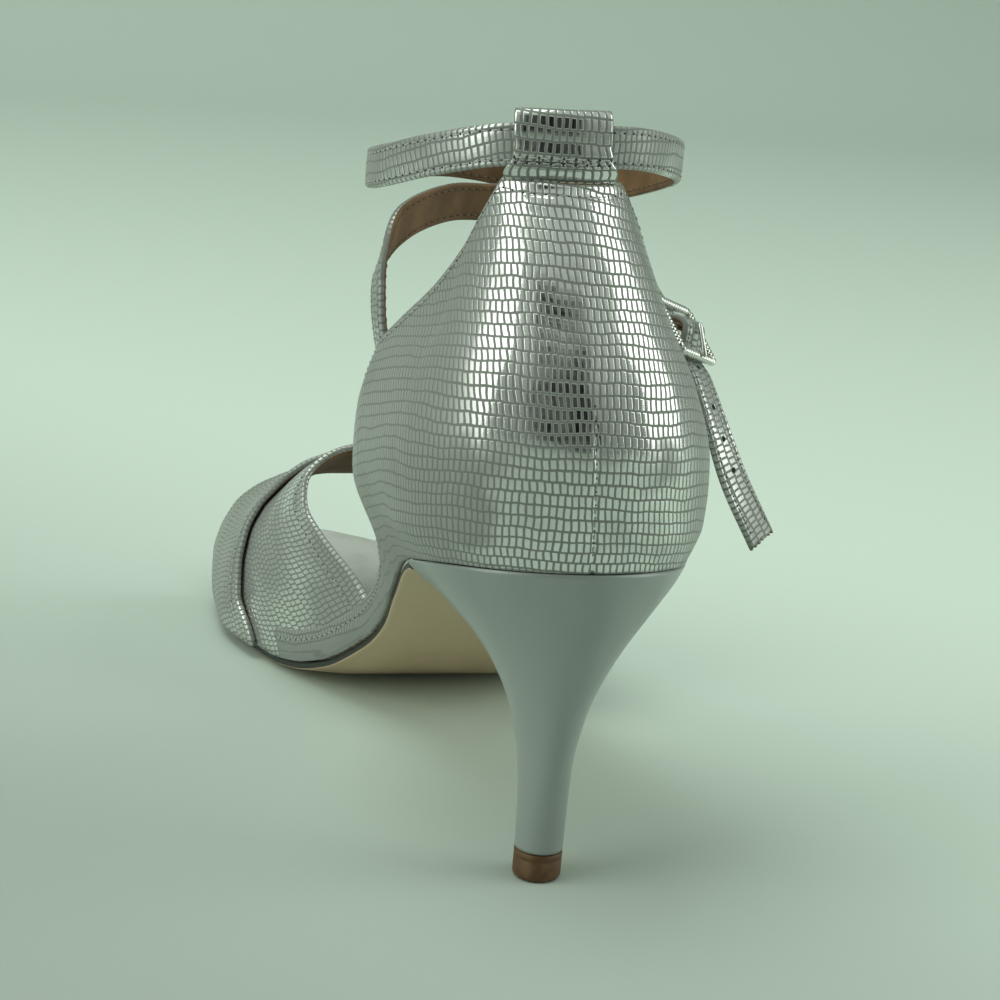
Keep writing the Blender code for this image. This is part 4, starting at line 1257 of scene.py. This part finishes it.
# all pieces
# one silver leather in lit and shaded copies: painted shade on the quarter's flanks, the loop's copy kept
# bright, the bands' and straps' copy dulled by painted shade
silver = silver_print("silver_print", 0.52, 0.64, 1.0)
lit_silver_copy = silver_print("silver_lit_copy", 0.80, 0.95)
painted_shade_silver = silver_print("silver_painted_shade_copy", 0.28, 0.54)
lining = clouded("lining_leather", (160.0, 4.0), (0.3, 0.7), ((0.155, 0.085, 0.036), (0.25, 0.145, 0.068)),
                 (0.62, 0.15), (900.0, 3.0, 0.00006))
sock = clouded("sock_silver", (70.0, 4.0), (0.35, 0.7), ((0.56, 0.58, 0.54), (0.44, 0.455, 0.42)),
               (0.46, 0.1), (1400.0, 3.0, 0.00005), Metallic=0.25)
rubber = clouded("brown_rubber", (420.0, 4.0), (0.4, 0.75), ((0.10, 0.045, 0.014), (0.16, 0.082, 0.032)),
                 (0.42, 0.2), (0.00008,))
metal = clouded("bright_metal", (900.0, 3.0), None, ((0.66, 0.67, 0.63), (0.74, 0.75, 0.71)),
                (0.14, 0.12), None, Metallic=1.0)
thread = clouded("thread_grey", (2600.0, 2.0), None, ((0.36, 0.38, 0.36), (0.62, 0.64, 0.60)),
                 (0.50, 0.0), (0.00003,))
brown_thread = clouded("thread_brown", (2600.0, 2.0), None, ((0.16, 0.09, 0.045), (0.30, 0.19, 0.10)),
                       (0.60, 0.0), (0.00003,))
# painted shade for the needle holes
needle = clouded("needle_hole_painted_shade", (800.0, 2.0), None, ((0.030, 0.030, 0.028), (0.060, 0.058, 0.052)),
                 (0.8, 0.0), None)
ink = clouded("edge_ink", (300.0, 3.0), None, ((0.020, 0.026, 0.020), (0.050, 0.058, 0.048)),
              (0.45, 0.2), None)

quarter_face, quarter_uvs = build_quarter(silver, lining)
rear_face = build_band("vamp_band_rear", BAND_REAR, 0.0, painted_shade_silver, lining)
front_face = build_band("vamp_band_front", BAND_FRONT, UPPER_WALL + BAND_FIT, painted_shade_silver, lining)

strap_samples = np.linspace(0.0, len(STRAP_ROUTE) - 1.0, STRAP_STEPS)
strap_path = catmull(route(STRAP_ROUTE), strap_samples)
strap_path = over_the_bar(strap_path, strap_samples)
strap = lined_strap("ankle_strap_leather", strap_path, STRAP_WIDTH, STRAP_THICK, painted_shade_silver, lining,
                    ["ankle_strap"], 0.35 * MM)
punch_holes(strap, route(STRAP_ROUTE), HOLE_POINTS)
tab_path = catmull(route(TAB_ROUTE), np.linspace(0.0, len(TAB_ROUTE) - 1.0, TAB_STEPS))
lined_strap("buckle_tab_leather", tab_path, TAB_WIDTH, STRAP_THICK, painted_shade_silver, lining, ["buckle_tab"])
build_loop(lit_silver_copy, lining)
build_frame(metal)

build_outsole([sole_leather(), ink])
build_insole(sock)
build_heel(heel_satin())
build_heel_tip(rubber)

sewing = [thread, needle]
sew("stitches_strap", strap_stitches(strap_path[4:-8], STRAP_WIDTH, STRAP_THICK), sewing)
sew("stitches_lining", strap_stitches(strap_path[4:-8], STRAP_WIDTH, STRAP_THICK, inside=True),
    [brown_thread, needle])
sew("stitches_tab", strap_stitches(tab_path[4:-4], TAB_WIDTH, STRAP_THICK), sewing)

edge_points, edge_up = line_on(quarter_face, column_at(quarter_uvs, QUARTER_STITCH_INSET))
sew("stitches_quarter", [stitch_row(edge_points, edge_up)], sewing)
middle_row = quarter_face.shape[0] // 2
seam_points = quarter_face[middle_row, 4:34]
seam_up = outward_normals(quarter_face)[middle_row, 4:34]
sew("stitches_back_seam", [stitch_row(seam_points, seam_up, step=SEAM_STEP)], sewing)
for name, face in (("stitches_band_rear", rear_face), ("stitches_band_front", front_face)):
    line, up = line_on(face, np.full(len(face), 4.0))
    sew(name, [stitch_row(line[8:-8], up[8:-8])], sewing)

build_bar_and_prong(metal)

sew("stitches_loop", loop_stitches(), sewing)


# stage, light and camera
def build_stage():
    """Floor that curves up into a wall beyond the toe."""
    profile = [(-3.0, 0.0), (1.3, 0.0)]
    for angle in np.linspace(0.0, 0.5 * np.pi, 17)[1:]:
        profile.append((1.3 + 0.5 * math.sin(angle), 0.5 - 0.5 * math.cos(angle)))
    profile.append((1.8, 3.0))
    points = [(x, y, z) for y, z in profile for x in (-3.0, 3.0)]
    faces = [(2 * k, 2 * k + 1, 2 * k + 3, 2 * k + 2) for k in range(len(profile) - 1)]
    mesh = bpy.data.meshes.new("backdrop")
    mesh.from_pydata(points, [], faces)
    mesh.polygons.foreach_set("use_smooth", np.ones(len(faces), dtype=bool))
    mesh.materials.append(backdrop_painted_shade())
    thing = bpy.data.objects.new("backdrop", mesh)
    bpy.context.scene.collection.objects.link(thing)


def build_world():
    """Studio around the shoe: bright above, greyer to the sides, darker behind the camera."""
    world = bpy.data.worlds.new("studio")
    bpy.context.scene.world = world
    world.use_nodes = True
    tree = world.node_tree
    place = Value(tree, tree.nodes.new("ShaderNodeTexCoord").outputs["Generated"])
    x, y, z = place.split()
    above = z.step(-0.2, 0.9)
    beside = x * 0.989 - y * 0.145
    behind = (x * -0.145 - y * 0.989).step(0.15, 0.40)
    tall = z.step(-0.12, 0.02) * (1.0 - z.step(0.58, 0.70))
    narrow = 1.0 - abs(beside).step(0.34, 0.46)
    facing = behind * tall * narrow
    colour = above.blend((0.32, 0.36, 0.32, 1.0), (0.76, 0.86, 0.77, 1.0))
    colour = facing.blend(colour, (0.015, 0.016, 0.015, 1.0))
    ground = tree.nodes["Background"]
    tree.links.new(colour.socket, ground.inputs["Color"])
    ground.inputs["Strength"].default_value = WORLD_LIGHT


def add_light(name, place, target, size, power, tint):
    """Rectangular area light aimed at a point."""
    data = bpy.data.lights.new(name, "AREA")
    data.shape = "RECTANGLE"
    data.size, data.size_y = size
    data.energy = power
    data.color = tint
    thing = bpy.data.objects.new(name, data)
    thing.location = place
    thing.rotation_euler = (Vector(target) - Vector(place)).to_track_quat("-Z", "Y").to_euler()
    bpy.context.scene.collection.objects.link(thing)


def build_camera():
    """Camera of the photo, turned so that the right-hand shoe fills the frame."""
    ahead, right = Vector(CAMERA_AHEAD), Vector(CAMERA_RIGHT)
    up = right.cross(ahead)
    aim = ahead + right * ((VIEW_MIDDLE[0] - PHOTO_HALF) / PHOTO_REACH)
    aim = (aim + up * ((PHOTO_HALF - VIEW_MIDDLE[1]) / PHOTO_REACH)).normalized()
    right = (right - aim * right.dot(aim)).normalized()
    up = right.cross(aim)
    data = bpy.data.cameras.new("camera")
    data.sensor_width = SENSOR
    data.lens = SENSOR * PHOTO_REACH * PHOTO_HALF / VIEW_HALF / (2.0 * PHOTO_HALF)
    camera = bpy.data.objects.new("camera", data)
    turn = Matrix((right, up, -aim)).transposed().to_4x4()
    camera.matrix_world = Matrix.Translation(Vector(CAMERA_PLACE)) @ turn
    bpy.context.scene.collection.objects.link(camera)
    bpy.context.scene.camera = camera


bpy.context.scene.view_settings.view_transform = "Standard"
build_stage()
build_world()
add_light("key", (-0.35, 0.25, 1.3), (0.0, 0.08, 0.05), (0.9, 0.9), 6.5, (0.92, 1.0, 0.93))
add_light("side_left", (-1.1, -0.2, 0.5), (0.0, 0.05, 0.06), (0.7, 1.2), 5.5, (0.93, 1.0, 0.93))
add_light("side_right", (1.1, -0.2, 0.5), (0.0, 0.05, 0.06), (0.7, 1.2), 5.0, (0.93, 1.0, 0.93))
build_camera()
